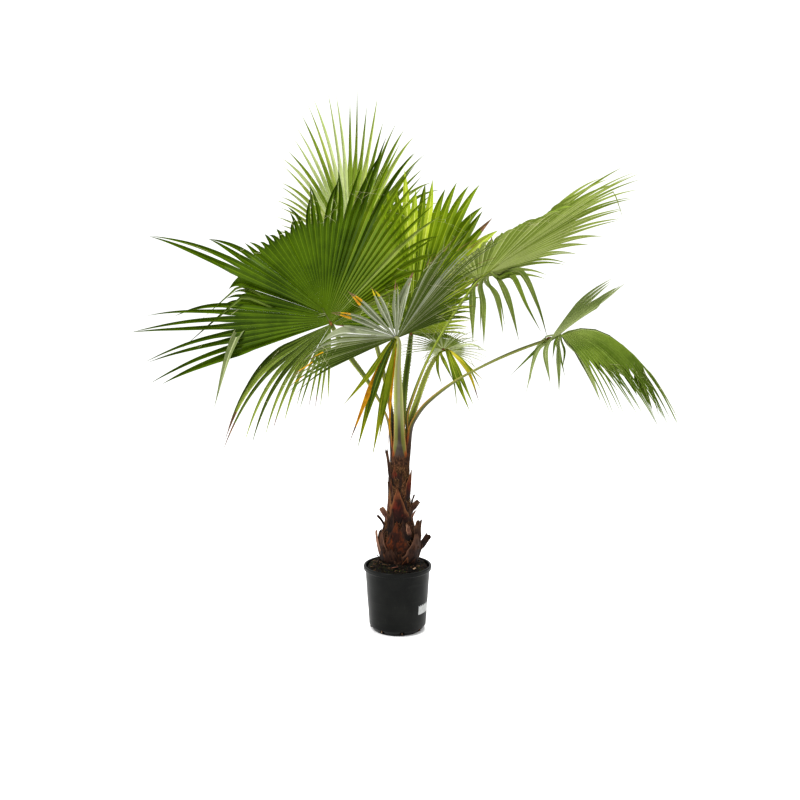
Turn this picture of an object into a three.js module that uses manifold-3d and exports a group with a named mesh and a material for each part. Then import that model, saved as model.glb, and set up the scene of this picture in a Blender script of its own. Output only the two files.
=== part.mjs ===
// A young Mexican fan palm (Washingtonia robusta) in a round nursery pot.
// Millimetres, +Z up. The origin is the centre of the pot's flat underside. +X is to the right of
// the plant's front, and -Y is the side that faces the viewer of that front.
//
// The plant is a trunk wrapped in old leaf bases (boots), with seven fan leaves (fronds). Each frond
// is a stalk, which runs on under the blade as a short rib, and a blade. A blade is a thin sheet,
// webbed near its hub and split into pointed fingers beyond, and is parted into sectors that each
// stay nearly flat, so that a blade which hangs at its sides does not close the space under it.

import * as THREE from 'three';
import { mergeVertices } from 'three/addons/utils/BufferGeometryUtils.js';
import Module from 'manifold-3d';

const wasm = await Module();
wasm.setup();

// ---------------------------------------------------------------------------------------------
// Driving dimensions
// ---------------------------------------------------------------------------------------------

const FIT_GAP = 0.3;

const POT = {
  height: 270,
  rimRadius: 139,
  rimDepth: 20,
  rimRound: 4,
  rimWall: 7.5,
  topRadius: 131,
  footRadius: 116,
  footHeight: 22,
  baseRadius: 99,
  wall: 2.4,
  floor: 3,
  sides: 32,
};
const DRAIN = { count: 8, width: 20, low: 4, height: 16, reach: 36, turn: 10 };
const LABEL = { turn: -28, halfSpan: 18, low: 84, high: 122, thickness: 0.5, clear: 0.4, steps: 6 };
// The soil stands a little off the wall, is rounded down to it, and is flat under the trunk's foot.
const SOIL = { top: 246, rise: 6, flatRadius: 84, wallGap: 1, shoulder: 7, edge: 2, sides: 32 };

const TRUNK = {
  sides: 24,
  // height above the underside of the pot, radius, and how far the axis stands off the pot's centre
  rings: [
    { z: 252.3, radius: 76, offset: 12 },
    { z: 296, radius: 73, offset: 12 },
    { z: 361, radius: 67, offset: 11 },
    { z: 411, radius: 57, offset: 10 },
    { z: 471, radius: 46, offset: 9 },
    { z: 531, radius: 42, offset: 7 },
    { z: 587, radius: 40, offset: 6 },
    { z: 661, radius: 37, offset: 8 },
    { z: 731, radius: 35, offset: 11 },
    { z: 781, radius: 34, offset: 13 },
  ],
};

// Old leaf bases. turn is the direction round the trunk in degrees (-90 is the front), foot and top
// are heights, half is the half width at the foot in degrees, lean is how far the tip stands out.
// A wide boot is set a little further off the trunk, whose faces are flat.
const BOOT = {
  clearance: 0.55,
  clearancePerDegree: 0.012,
  levels: 5,
  columnWidth: 12,
  tipWidth: 0.16,
  tipThickness: 0.4,
  narrowing: 1.4,
};
const BOOTS = [
  { name: 'boot_front_upper', turn: -96, foot: 463, top: 593, half: 44, lean: 7, thick: 5 },
  { name: 'boot_front_lower', turn: -105, foot: 341, top: 459, half: 36, lean: 9, thick: 6 },
  { name: 'boot_left_lower', turn: 188, foot: 303, top: 410, half: 26, lean: 26, thick: 7 },
  { name: 'boot_right_upper', turn: -35, foot: 547, top: 662, half: 26, lean: 18, thick: 4.5 },
  { name: 'boot_back_upper', turn: 80, foot: 481, top: 611, half: 42, lean: 7, thick: 5 },
  { name: 'boot_back_lower', turn: 85, foot: 333, top: 461, half: 34, lean: 9, thick: 6 },
  { name: 'boot_back_left', turn: 145, foot: 367, top: 463, half: 17, lean: 16, thick: 5 },
  { name: 'boot_top_left', turn: 132, foot: 577, top: 701, half: 22, lean: 9, thick: 4 },
  { name: 'boot_top_right', turn: 55, foot: 635, top: 743, half: 22, lean: 8, thick: 4 },
  { name: 'stub_right_low', turn: -22, foot: 338, top: 460, half: 15, lean: 36, thick: 8 },
  { name: 'stub_right_dark', turn: 12, foot: 301, top: 386, half: 8, lean: 47, thick: 5 },
  { name: 'stub_right_mid', turn: -8, foot: 481, top: 536, half: 14, lean: 33, thick: 5 },
  { name: 'stub_front_cut', turn: -53, foot: 403, top: 451, half: 8, lean: 10, thick: 6 },
  { name: 'stub_left_strap', turn: 205, foot: 601, top: 747, half: 10, lean: 26, thick: 3 },
  { name: 'stub_left_mid', turn: 184, foot: 451, top: 508, half: 12, lean: 27, thick: 5 },
  { name: 'stub_left_dark', turn: 191, foot: 421, top: 476, half: 5, lean: 41, thick: 4 },
  { name: 'stub_back_right', turn: 24, foot: 479, top: 551, half: 9, lean: 22, thick: 5 },
];

// Blades. The web is the share of a finger's length that is joined to its neighbours. The hub is
// left open by a small radius, where the stalk's rib lies under the blade.
const BLADE = {
  thickness: 2.4,
  hubRadius: 20,
  webSteps: 2,
  limpWebSteps: 3,
  fingerSteps: 2,
  fingerFullness: 1.15,
  leastFingers: 2,
};
// A ray is the course of one finger from the hub to its tip. sag is how far its weight pulls it down,
// and a hanging finger bends by its droop times the power below of the share beyond its web.
const RAY = { steps: 16, sag: 0.05, hangPower: 1.2, limpPower: 0.7 };

// Fronds. hub is where the blade leaves its stalk, rib the way its midline points, face the way its
// upper side looks, and costa the length of the rib under the blade. limp is true on a blade that
// arches as a whole, and false on one whose fingers alone hang. cuts are the turns at which the
// blade is parted. stations are turn from the rib in degrees, reach in millimetres, lift off the
// blade's plane in degrees, droop (0 is straight, 1 turns a level tip down by 45 degrees) and,
// where it is not the frond's own, web. stalk is the middle of the stalk from its foot up.
const FRONDS = [
  {
    name: 'tall', leaflets: 24, web: 0.6, limp: false, costa: 80, cuts: [0],
    hub: [-199, 330, 1488], rib: [-0.05, 0.05, 1], face: [0.6, -0.8, 0.1],
    stations: [
      [-105, 370, 8, 0.3], [-58, 415, 4, 0.3], [-26, 565, 0, 0.3], [-10, 668, 0, 0.3],
      [5, 697, 2, 0.3], [26, 645, 4, 0.3], [60, 520, 6, 0.3], [105, 390, 8, 0.4],
    ],
    stalk: {
      widths: [15, 20, 18, 13],
      points: [[-6, 14, 781.6], [-22, 38, 860], [-38, 90, 956], [-95, 210, 1173]],
    },
  },
  {
    name: 'left', leaflets: 36, web: 0.6, limp: false, costa: 70, cuts: [-80, -44, 20],
    hub: [-255, -120, 1258], rib: [-0.5, 0.12, 0.86], face: [0.1, -1, 0.15],
    stations: [
      [-150, 300, -12, 0.4], [-120, 350, 0, 0.4], [-108, 500, 2, 0.7], [-96, 640, 5, 1.1],
      [-89, 470, 5, 0.9], [-83, 420, 2, 0.5], [-77, 650, 1, 0.3], [-66, 725, 0, 0.15],
      [-54, 690, 0, 0.5], [-49, 420, -4, 0.3], [-38, 430, -4, 0.3], [-32, 755, 0, 0.05],
      [-25, 590, -2, 0.4], [-18, 470, -6, 0.3, 0.8], [-12, 450, -8, 0.3, 0.88],
      [6, 432, -8, 0.3, 0.9], [18, 500, -5, 0.2, 0.78], [28, 590, -2, 0.3, 0.68],
      [36, 590, 3, 0.5], [42, 640, 5, 0.5], [47, 785, 4, 0.3], [60, 690, 2, 0.3],
      [72, 580, 1, 0.3], [80, 500, 1, 0.3], [90, 300, 1, 0.3], [130, 230, 0, 0.4],
    ],
    stalk: {
      widths: [15, 20, 18, 13],
      points: [[-12, -6, 781.6], [-38, -18, 869], [-112, -55, 1022], [-192, -92, 1140]],
    },
  },
  {
    name: 'front', leaflets: 30, web: 0.6, limp: false, costa: 60, cuts: [-40, 52],
    hub: [-1, -300, 1217], rib: [-0.38, -0.87, 0.3], face: [-0.69, 0.48, 0.54],
    stations: [
      [-135, 350, -8, 0.3], [-114, 380, -2, 0.3], [-92, 540, -2, 0.3], [-76, 465, 2, 0.3],
      [-50, 390, 0, 0.3], [-30, 405, 0, 0.3], [-12, 440, 4, 0.3], [12, 472, 4, 0.3],
      [45, 488, 9, 0.3], [65, 380, 4, 0.3], [86, 320, 0, 0.3], [100, 442, -8, 0.3],
      [118, 478, -15, 0.3],
    ],
    stalk: {
      widths: [44, 27, 25, 20, 14],
      points: [[10, -41.5, 701], [8, -56, 794], [4, -110, 961], [1, -200, 1096]],
    },
  },
  {
    name: 'back', leaflets: 22, web: 0.62, limp: false, costa: 70, cuts: [0],
    hub: [56, 220, 1197], rib: [0.1, 0.1, 1], face: [-0.1, -1, 0.1],
    stations: [
      [-80, 320, 8, 0.4], [-50, 460, 5, 0.3], [-8, 628, 3, 0.3], [18, 626, 2, 0.3],
      [32, 545, 3, 0.3], [45, 420, 0, 0.3], [60, 290, 0, 0.3], [76, 235, 0, 0.3],
      [98, 210, 0, 0.4],
    ],
    stalk: {
      widths: [15, 20, 17, 13],
      points: [[12, 22, 781.6], [20, 45, 880], [33, 100, 1017], [47, 165, 1116]],
    },
  },
  {
    name: 'upper_right', leaflets: 26, web: 0.64, limp: false, costa: 90, cuts: [-60, 20],
    hub: [317, 20, 1426], rib: [0.8, -0.05, 0.6], face: [-0.55, 0.35, 0.7],
    stations: [
      [-112, 515, -5, 0.4], [-96, 480, -12, 0.4], [-84, 560, -14, 0.8], [-72, 650, -6, 1.3],
      [-62, 660, -2, 1.2], [-54, 570, 2, 0.3], [-30, 625, -3, 0.3], [-8, 695, -1, 0.3],
      [8, 717, -1, 0.3], [21, 606, 1, 0.3], [34, 500, -5, 0.3], [70, 385, 0, 0.3],
      [108, 300, 5, 0.4],
    ],
    stalk: {
      widths: [15, 19, 18, 12],
      points: [[31, 5, 781.6], [38, 12, 877], [56, 15, 945], [141, 20, 1150]],
    },
  },
  {
    name: 'right', leaflets: 24, web: 0.62, limp: true, costa: 95, cuts: [-40, 30],
    hub: [598, 2, 1194], rib: [0.83, -0.48, 0.29], face: [-0.5, -0.4, 0.77],
    stations: [
      [-58, 375, 2, 0.1], [-47, 375, 0, 0.1], [-42, 250, 0, 1], [-36, 330, -3, 2.2],
      [-26, 650, -3, 2.1], [-12, 700, -3.5, 1.9], [4, 645, -3.5, 1.7], [16, 590, -11, 1.4],
      [34, 480, -6, 0.9], [53, 430, 0, 0.9], [76, 332, 8, 0.8], [110, 275, 9, 0.8],
      [132, 245, 16, 0.7],
    ],
    stalk: {
      widths: [15, 16, 14, 12, 9],
      points: [[39, -13, 781.6], [55, -17, 841], [75, -20, 883], [110, -20, 931], [223, -20, 1022],
        [355, -15, 1094], [484, -8, 1150]],
      splitAt: 0.24,
    },
  },
  {
    name: 'small', leaflets: 20, web: 0.5, limp: false, costa: 30, cuts: [-20],
    hub: [187, 108, 1141], rib: [0.7, -0.3, -0.3], face: [0.1, -0.75, 0.5],
    stations: [
      [-160, 150, 0, 0.2], [-130, 120, 0, 0.3], [-100, 125, 0, 0.3], [-70, 140, 3, 0.3],
      [-30, 175, 2, 0.3], [5, 190, -5, 0.3], [28, 272, -9, 0.3], [41, 298, -12, 0.3],
      [52, 165, -3, 0.3], [110, 115, 8, 0.3], [150, 110, 5, 0.3],
    ],
    stalk: {
      widths: [14, 17, 15, 10],
      points: [[29, 22, 781.6], [55, 38, 861], [80, 56, 939], [141, 97, 1085]],
    },
  },
];

// Stalks. flatness is depth over width, seat a little more room under the blade, underBlade how far
// the rib runs on beneath the sheet, and ribEnd its width there as a share of the stalk's last width.
const STALK = {
  sides: 6,
  steps: 11,
  leastSteps: 4,
  flatness: 0.55,
  mostDepth: 12,
  seat: 0.3,
  underBlade: 14,
  ribEnd: 0.5,
};

const LOOKS = {
  pot: { color: 0x2b2d2b, roughness: 0.5, metalness: 0 },
  label: { color: 0xe9e9e4, roughness: 0.7, metalness: 0 },
  soil: { color: 0x2a211b, roughness: 0.95, metalness: 0 },
  trunk: { color: 0x5b3a29, roughness: 0.85, metalness: 0 },
  boot: { color: 0x7d4426, roughness: 0.8, metalness: 0 },
  stalk: { color: 0x8b9a5b, roughness: 0.5, metalness: 0 },
  blade: { color: 0x5c8431, roughness: 0.55, metalness: 0 },
};

// ---------------------------------------------------------------------------------------------
// Small helpers
// ---------------------------------------------------------------------------------------------

const radians = THREE.MathUtils.degToRad;
const UP = new THREE.Vector3(0, 0, 1);

/** Straight-line value of a table of rows at x, where rows are [x, value, value, ...]. */
function between(rows, x, column) {
  if (x <= rows[0][0]) return rows[0][column];
  const next = rows.findIndex((row) => row[0] >= x);
  if (next < 0) return rows[rows.length - 1][column];
  const low = rows[next - 1];
  const high = rows[next];
  return THREE.MathUtils.lerp(low[column], high[column], (x - low[0]) / (high[0] - low[0]));
}

/** Signed volume of an indexed geometry. */
function signedVolume(geometry) {
  const place = geometry.getAttribute('position');
  const [a, b, c] = [new THREE.Vector3(), new THREE.Vector3(), new THREE.Vector3()];
  let volume = 0;
  for (let i = 0; i < geometry.index.count; i += 3) {
    a.fromBufferAttribute(place, geometry.index.getX(i));
    b.fromBufferAttribute(place, geometry.index.getX(i + 1));
    c.fromBufferAttribute(place, geometry.index.getX(i + 2));
    volume += a.dot(b.cross(c)) / 6;
  }
  return volume;
}

/** Closed geometry from points and triangles, with its faces turned outwards. */
function closedGeometry(points, triangles) {
  const geometry = new THREE.BufferGeometry().setFromPoints(points);
  geometry.setIndex(triangles.flat());
  if (signedVolume(geometry) < 0) {
    geometry.setIndex(triangles.map(([a, b, c]) => [a, c, b]).flat());
  }
  return geometry;
}

/** Closed solid through a row of rings that all have the same number of points. */
function loft(rings) {
  const size = rings[0].length;
  const points = rings.flat();
  const triangles = [];
  for (let r = 0; r < rings.length - 1; r += 1) {
    for (let i = 0; i < size; i += 1) {
      const a = r * size + i;
      const b = r * size + ((i + 1) % size);
      triangles.push([a, b, b + size], [a, b + size, a + size]);
    }
  }
  const last = (rings.length - 1) * size;
  for (let i = 1; i < size - 1; i += 1) {
    triangles.push([0, i + 1, i], [last, last + i, last + i + 1]);
  }
  return closedGeometry(points, triangles);
}

/** A three.js geometry as a manifold solid. */
function toSolid(geometry) {
  const bare = geometry.clone();
  bare.deleteAttribute('normal');
  bare.deleteAttribute('uv');
  const merged = mergeVertices(bare, 1e-3);
  const vertProperties = new Float32Array(merged.getAttribute('position').array);
  const triVerts = new Uint32Array(merged.index.array);
  return new wasm.Manifold(new wasm.Mesh({ numProp: 3, vertProperties, triVerts }));
}

/** A manifold solid as a three.js geometry. */
function toGeometry(solid) {
  const mesh = solid.getMesh();
  const geometry = new THREE.BufferGeometry();
  geometry.setAttribute('position', new THREE.BufferAttribute(mesh.vertProperties, 3));
  geometry.setIndex(new THREE.BufferAttribute(mesh.triVerts, 1));
  return geometry;
}

/** A named sub-part with its own material. */
function part(name, geometry, look) {
  const mesh = new THREE.Mesh(geometry, new THREE.MeshStandardMaterial(look));
  mesh.name = name;
  return mesh;
}

/** A lathe about Z of a closed or axis-to-axis profile of [radius, height] pairs. */
function lathe(profile, sides) {
  const outline = profile.map(([radius, height]) => new THREE.Vector2(radius, height));
  const geometry = new THREE.LatheGeometry(outline, sides);
  geometry.rotateX(Math.PI / 2);
  return geometry;
}

// ---------------------------------------------------------------------------------------------
// Pot, label and soil
// ---------------------------------------------------------------------------------------------

/** Outer radius of the pot's wall at a height between the foot and the rim. */
function potRadius(z) {
  const share = (z - POT.footHeight) / (POT.height - POT.rimDepth - POT.footHeight);
  return THREE.MathUtils.lerp(POT.footRadius, POT.topRadius, share);
}

/** Thin nursery pot with a rolled rim, a slanted foot and drain slots cut through the foot. */
function pot() {
  const { height, rimRadius, rimDepth, rimRound, rimWall, topRadius } = POT;
  const { footRadius, footHeight, baseRadius, wall, floor } = POT;
  const rimFoot = height - rimDepth;
  const profile = [
    [0, 0],
    [baseRadius, 0],
    [footRadius, footHeight],
    [topRadius, rimFoot],
    [rimRadius, rimFoot + rimRound],
    [rimRadius, height - rimRound],
    [rimRadius - rimRound, height],
    [rimRadius - rimWall, height - rimRound],
    [topRadius - wall, rimFoot],
    [footRadius - wall, footHeight],
    [baseRadius - wall, floor],
    [0, floor],
  ];
  let shell = toSolid(lathe(profile, POT.sides));
  for (let i = 0; i < DRAIN.count; i += 1) {
    const angle = radians(DRAIN.turn + (360 / DRAIN.count) * i);
    const slot = new THREE.BoxGeometry(DRAIN.reach, DRAIN.width, DRAIN.height);
    slot.translate(footRadius, 0, DRAIN.low + DRAIN.height / 2);
    slot.rotateZ(angle);
    shell = shell.subtract(toSolid(slot));
  }
  return part('pot', toGeometry(shell), LOOKS.pot);
}

/** Blank paper label, bent round the wall of the pot. */
function potLabel() {
  const { turn, halfSpan, low, high, thickness, clear, steps } = LABEL;
  const rings = [];
  for (let i = 0; i <= steps; i += 1) {
    const angle = radians(turn - halfSpan + (2 * halfSpan * i) / steps);
    const at = (radius, z) => new THREE.Vector3(radius * Math.cos(angle), radius * Math.sin(angle), z);
    const bottom = potRadius(low) + clear;
    const top = potRadius(high) + clear;
    rings.push([at(bottom, low), at(bottom + thickness, low), at(top + thickness, high), at(top, high)]);
  }
  return part('pot_label', loft(rings), LOOKS.label);
}

/** Potting soil that fills the pot to a little under its rim, with a flat top round the trunk. */
function soil() {
  const { top, rise, flatRadius, wallGap, shoulder, edge } = SOIL;
  const side = POT.wall + wallGap;
  const rim = potRadius(top) - side;
  const profile = [
    [0, POT.floor + FIT_GAP],
    [POT.baseRadius - side - edge, POT.floor + FIT_GAP],
    [POT.footRadius - side - edge, POT.footHeight + edge],
    [rim, top - edge],
    [rim - shoulder, top],
    [flatRadius, top + rise],
    [0, top + rise],
  ];
  return part('soil', lathe(profile, SOIL.sides), LOOKS.soil);
}

// ---------------------------------------------------------------------------------------------
// Trunk and old leaf bases
// ---------------------------------------------------------------------------------------------

const TRUNK_ROWS = TRUNK.rings.map(({ z, radius, offset }) => [z, radius, offset]);
const trunkRadius = (z) => between(TRUNK_ROWS, z, 1);
const trunkOffset = (z) => between(TRUNK_ROWS, z, 2);

/** Point beside the trunk's axis, at a turn in radians and a distance from it. */
function besideTrunk(angle, distance, z) {
  return new THREE.Vector3(trunkOffset(z) + distance * Math.cos(angle), distance * Math.sin(angle), z);
}

/** Tapering trunk with a broad foot, cut flat where it meets the soil. */
function trunk() {
  const rings = TRUNK.rings.map(({ z, radius }) => {
    const step = (2 * Math.PI) / TRUNK.sides;
    return Array.from({ length: TRUNK.sides }, (_, i) => besideTrunk(i * step, radius, z));
  });
  return part('trunk', loft(rings), LOOKS.trunk);
}

/** Old leaf base: a pointed plate that hugs the trunk at its foot and stands off at its tip. */
function boot({ name, turn, foot, top, half, lean, thick }) {
  const across = Math.max(2, Math.ceil((2 * half) / BOOT.columnWidth));
  const clearance = BOOT.clearance + BOOT.clearancePerDegree * half;
  const rings = [];
  for (let k = 0; k <= BOOT.levels; k += 1) {
    const share = k / BOOT.levels;
    const z = THREE.MathUtils.lerp(foot, top, share);
    const spread = radians(half) * (1 - (1 - BOOT.tipWidth) * share ** BOOT.narrowing);
    const inner = trunkRadius(z) + clearance + lean * share ** 2;
    const outer = inner + thick * THREE.MathUtils.lerp(1, BOOT.tipThickness, share);
    const arc = (radius) => Array.from({ length: across + 1 }, (_, i) =>
      besideTrunk(radians(turn) - spread + (2 * spread * i) / across, radius, z));
    rings.push([...arc(outer), ...arc(inner).reverse()]);
  }
  return part(name, loft(rings), LOOKS.boot);
}

// ---------------------------------------------------------------------------------------------
// Fronds
// ---------------------------------------------------------------------------------------------

/** The blade's own axes: along its midline, off its upper side, and across it. */
function bladeAxes({ rib, face }) {
  const along = new THREE.Vector3(...rib).normalize();
  const out = new THREE.Vector3(...face);
  out.addScaledVector(along, -out.dot(along)).normalize();
  return { along, out, across: new THREE.Vector3().crossVectors(along, out) };
}

/** Course of one ray of the blade: points from hub to tip, with the way across at each. */
function bladeRay(frond, turn) {
  const { along, out, across } = bladeAxes(frond);
  const angle = radians(turn);
  const reach = between(frond.stations, turn, 1);
  const lift = radians(between(frond.stations, turn, 2));
  const droop = between(frond.stations, turn, 3);
  const rows = frond.stations.map((row) => [row[0], row[4] ?? frond.web]);
  const web = between(rows, turn, 1);
  const flat = along.clone().multiplyScalar(Math.cos(angle)).addScaledVector(across, Math.sin(angle));
  const start = flat.clone().multiplyScalar(Math.cos(lift)).addScaledVector(out, Math.sin(lift));
  const rooted = frond.costa * Math.max(0, Math.cos(angle)) ** 2;
  const place = new THREE.Vector3(...frond.hub).addScaledVector(along, rooted);
  const step = (reach - rooted) / RAY.steps;
  const course = [];
  for (let k = 0; k <= RAY.steps; k += 1) {
    const share = (k + 0.5) / RAY.steps;
    const limpFrom = frond.limp ? 0 : web;
    const power = frond.limp ? RAY.limpPower : RAY.hangPower;
    const hang = Math.max(0, (share - limpFrom) / (1 - limpFrom)) ** power;
    const pull = RAY.sag * (1 - (1 - share) ** 2) + droop * hang;
    const way = start.clone().addScaledVector(UP, -pull).normalize();
    const normal = out.clone().addScaledVector(way, -out.dot(way)).normalize();
    const side = new THREE.Vector3().crossVectors(way, normal);
    course.push({ place: place.clone(), side, normal });
    place.addScaledVector(way, step);
  }
  return { course, web, length: reach - rooted };
}

/** Place, side and normal on a ray at a share of its length. */
function onRay(ray, share) {
  const at = THREE.MathUtils.clamp(share, 0, 1) * RAY.steps;
  const low = Math.min(Math.floor(at), RAY.steps - 1);
  const rest = at - low;
  const [a, b] = [ray.course[low], ray.course[low + 1]];
  return {
    place: a.place.clone().lerp(b.place, rest),
    side: a.side.clone().lerp(b.side, rest).normalize(),
    normal: a.normal.clone().lerp(b.normal, rest).normalize(),
  };
}

/** Shares of a ray at which the webbed part of the sheet has its rows, from the hub outwards. */
function webShares(frond, ray) {
  const steps = frond.limp ? BLADE.limpWebSteps : BLADE.webSteps;
  const low = BLADE.hubRadius / ray.length;
  return Array.from({ length: steps + 1 }, (_, k) => THREE.MathUtils.lerp(low, ray.web, k / steps));
}

/** Sector of a blade between two turns: webbed near the hub, split into pointed fingers beyond. */
function bladeSector(frond, from, to, fingers) {
  const { thickness, fingerSteps } = BLADE;
  const points = [];
  const triangles = [];

  // Each place on the sheet is two points, one on either face of it.
  const sheetPoint = ({ place, normal }) => {
    const half = thickness / 2;
    points.push(place.clone().addScaledVector(normal, half));
    points.push(place.clone().addScaledVector(normal, -half));
    return points.length - 2;
  };
  const faceBoth = (a, b, c) => {
    triangles.push([a, b, c], [a + 1, c + 1, b + 1]);
  };
  const quadBoth = (a, b, c, d) => {
    faceBoth(a, b, c);
    faceBoth(a, c, d);
  };
  const wallBetween = (a, b) => {
    triangles.push([b, b + 1, a + 1], [b, a + 1, a]);
  };

  const lines = [];
  for (let j = 0; j <= fingers; j += 1) {
    const ray = bladeRay(frond, THREE.MathUtils.lerp(from, to, j / fingers));
    const inset = j === 0 ? FIT_GAP : j === fingers ? -FIT_GAP : 0;
    const line = webShares(frond, ray).map((share) => {
      const spot = onRay(ray, share);
      spot.place.addScaledVector(spot.side, inset);
      return { index: sheetPoint(spot), place: spot.place };
    });
    lines.push(line);
  }
  const webSteps = lines[0].length - 1;
  for (let j = 0; j < fingers; j += 1) {
    const [left, right] = [lines[j], lines[j + 1]];
    for (let k = 0; k < webSteps; k += 1) {
      quadBoth(left[k].index, left[k + 1].index, right[k + 1].index, right[k].index);
    }
    wallBetween(left[0].index, right[0].index);

    // A free finger narrows from its root between the two lines to a tip of its own.
    const ray = bladeRay(frond, THREE.MathUtils.lerp(from, to, (j + 0.5) / fingers));
    const [rootLeft, rootRight] = [left[webSteps], right[webSteps]];
    const halfRoot = rootLeft.place.distanceTo(rootRight.place) / 2;
    let [lowLeft, lowRight] = [rootLeft.index, rootRight.index];
    for (let q = 1; q < fingerSteps; q += 1) {
      const share = q / fingerSteps;
      const spot = onRay(ray, THREE.MathUtils.lerp(ray.web, 1, share));
      const narrow = halfRoot * (1 - share) * BLADE.fingerFullness;
      const edge = (sign) => ({
        place: spot.place.clone().addScaledVector(spot.side, sign * narrow),
        normal: spot.normal,
      });
      const [highLeft, highRight] = [sheetPoint(edge(-1)), sheetPoint(edge(1))];
      quadBoth(lowLeft, highLeft, highRight, lowRight);
      wallBetween(highLeft, lowLeft);
      wallBetween(lowRight, highRight);
      [lowLeft, lowRight] = [highLeft, highRight];
    }
    const tip = sheetPoint(onRay(ray, 1));
    faceBoth(lowLeft, tip, lowRight);
    wallBetween(tip, lowLeft);
    wallBetween(lowRight, tip);
  }
  for (let k = 0; k < webSteps; k += 1) {
    wallBetween(lines[0][k + 1].index, lines[0][k].index);
    wallBetween(lines[fingers][k].index, lines[fingers][k + 1].index);
  }
  return closedGeometry(points, triangles);
}

/** All sectors of a frond's blade. */
function blade(frond) {
  const first = frond.stations[0][0];
  const last = frond.stations[frond.stations.length - 1][0];
  const bounds = [first, ...frond.cuts, last];
  return bounds.slice(1).map((to, i) => {
    const from = bounds[i];
    const share = (to - from) / (last - first);
    const fingers = Math.max(BLADE.leastFingers, Math.round(frond.leaflets * share));
    return part(`${frond.name}_blade_${i + 1}`, bladeSector(frond, from, to, fingers), LOOKS.blade);
  });
}

/** Middle line of a stalk, from its foot to the end of the rib under the blade. */
function stalkCurve(frond) {
  const { out } = bladeAxes(frond);
  const { points, widths } = frond.stalk;
  const lastDepth = widths[widths.length - 1] * STALK.flatness;
  const cover = BLADE.thickness / 2 + FIT_GAP + STALK.seat;
  const hub = new THREE.Vector3(...frond.hub).addScaledVector(out, -cover - lastDepth / 2);
  const midRay = bladeRay(frond, 0);
  const [inner, outer] = webShares(frond, midRay).map((share) => onRay(midRay, share));
  const row = outer.place.distanceTo(inner.place);
  const ribEnd = inner.place.clone().lerp(outer.place, STALK.underBlade / row);
  ribEnd.addScaledVector(inner.normal, -cover - (lastDepth * STALK.ribEnd) / 2);
  const course = [...points.map((p) => new THREE.Vector3(...p)), hub, ribEnd];
  return new THREE.CatmullRomCurve3(course, false, 'centripetal');
}

/** Stretch of a stalk: half-round, tapering, its hollow side turned to the trunk, then upwards. */
function stalkStretch(frond, name, from, to) {
  const { out } = bladeAxes(frond);
  const curve = stalkCurve(frond);
  const foot = curve.getPointAt(0);
  const inward = besideTrunk(0, 0, foot.z).sub(foot).setZ(0).normalize();
  const widthRows = frond.stalk.widths.map((width, i, all) => [i / (all.length - 1), width]);
  const steps = Math.max(STALK.leastSteps, Math.round(STALK.steps * (to - from)));
  const rings = [];
  for (let k = 0; k <= steps; k += 1) {
    const share = THREE.MathUtils.lerp(from, to, k / steps);
    const place = curve.getPointAt(share);
    const way = share === 0 ? UP.clone() : curve.getTangentAt(share);
    const normal = inward.clone().lerp(out, share);
    normal.addScaledVector(way, -normal.dot(way)).normalize();
    const side = new THREE.Vector3().crossVectors(way, normal);
    const width = between(widthRows, share, 1) * (share === 1 ? STALK.ribEnd : 1);
    const depth = Math.min(width * STALK.flatness, STALK.mostDepth);
    const ring = [];
    for (let i = 0; i < STALK.sides; i += 1) {
      const angle = (2 * Math.PI * i) / STALK.sides;
      const point = place.clone().addScaledVector(side, (width / 2) * Math.cos(angle));
      ring.push(point.addScaledVector(normal, (depth / 2) * Math.sin(angle)));
    }
    rings.push(ring);
  }
  return part(name, loft(rings), LOOKS.stalk);
}

/** A frond's stalk, parted where it bends from upright to level. */
function stalk(frond) {
  const split = frond.stalk.splitAt;
  if (!split) return [stalkStretch(frond, `${frond.name}_stalk`, 0, 1)];
  const gap = FIT_GAP / 2 / stalkCurve(frond).getLength();
  return [
    stalkStretch(frond, `${frond.name}_stalk_lower`, 0, split - gap),
    stalkStretch(frond, `${frond.name}_stalk_upper`, split + gap, 1),
  ];
}

// ---------------------------------------------------------------------------------------------
// Assembly
// ---------------------------------------------------------------------------------------------

const palm = new THREE.Group();
palm.add(pot(), potLabel(), soil(), trunk());
palm.add(...BOOTS.map(boot));
for (const frond of FRONDS) {
  palm.add(...stalk(frond), ...blade(frond));
}

export default palm;
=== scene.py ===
"""A young Mexican fan palm in a round black nursery pot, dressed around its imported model.

Metres, +Z up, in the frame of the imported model. Sizes in the tables below are millimetres, as a
maker would write them, and become metres through the constant MM.
"""

import logging
import math
from dataclasses import dataclass, field
from enum import Enum
from functools import partial
from typing import Callable, Optional, Union

import bpy
import numpy as np
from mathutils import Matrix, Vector


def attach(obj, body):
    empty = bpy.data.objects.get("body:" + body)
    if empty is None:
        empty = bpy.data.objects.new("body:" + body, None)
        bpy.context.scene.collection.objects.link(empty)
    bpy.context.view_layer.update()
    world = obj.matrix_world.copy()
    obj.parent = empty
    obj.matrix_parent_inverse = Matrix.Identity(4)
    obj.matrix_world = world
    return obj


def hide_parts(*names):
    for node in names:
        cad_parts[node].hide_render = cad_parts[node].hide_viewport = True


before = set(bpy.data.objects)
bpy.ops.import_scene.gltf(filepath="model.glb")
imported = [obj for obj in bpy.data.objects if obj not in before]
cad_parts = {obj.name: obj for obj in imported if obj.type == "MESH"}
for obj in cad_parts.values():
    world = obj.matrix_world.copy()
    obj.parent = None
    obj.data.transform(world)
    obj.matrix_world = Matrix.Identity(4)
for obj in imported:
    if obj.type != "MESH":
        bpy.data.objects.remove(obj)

LOG = logging.getLogger("fan_palm")
MM = 0.001
SEED = 41
UPWARD = np.array([0.0, 0.0, 1.0])
ASKEW = np.array([0.31, 0.17, 0.93])
FINE_STEPS = 40

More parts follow.
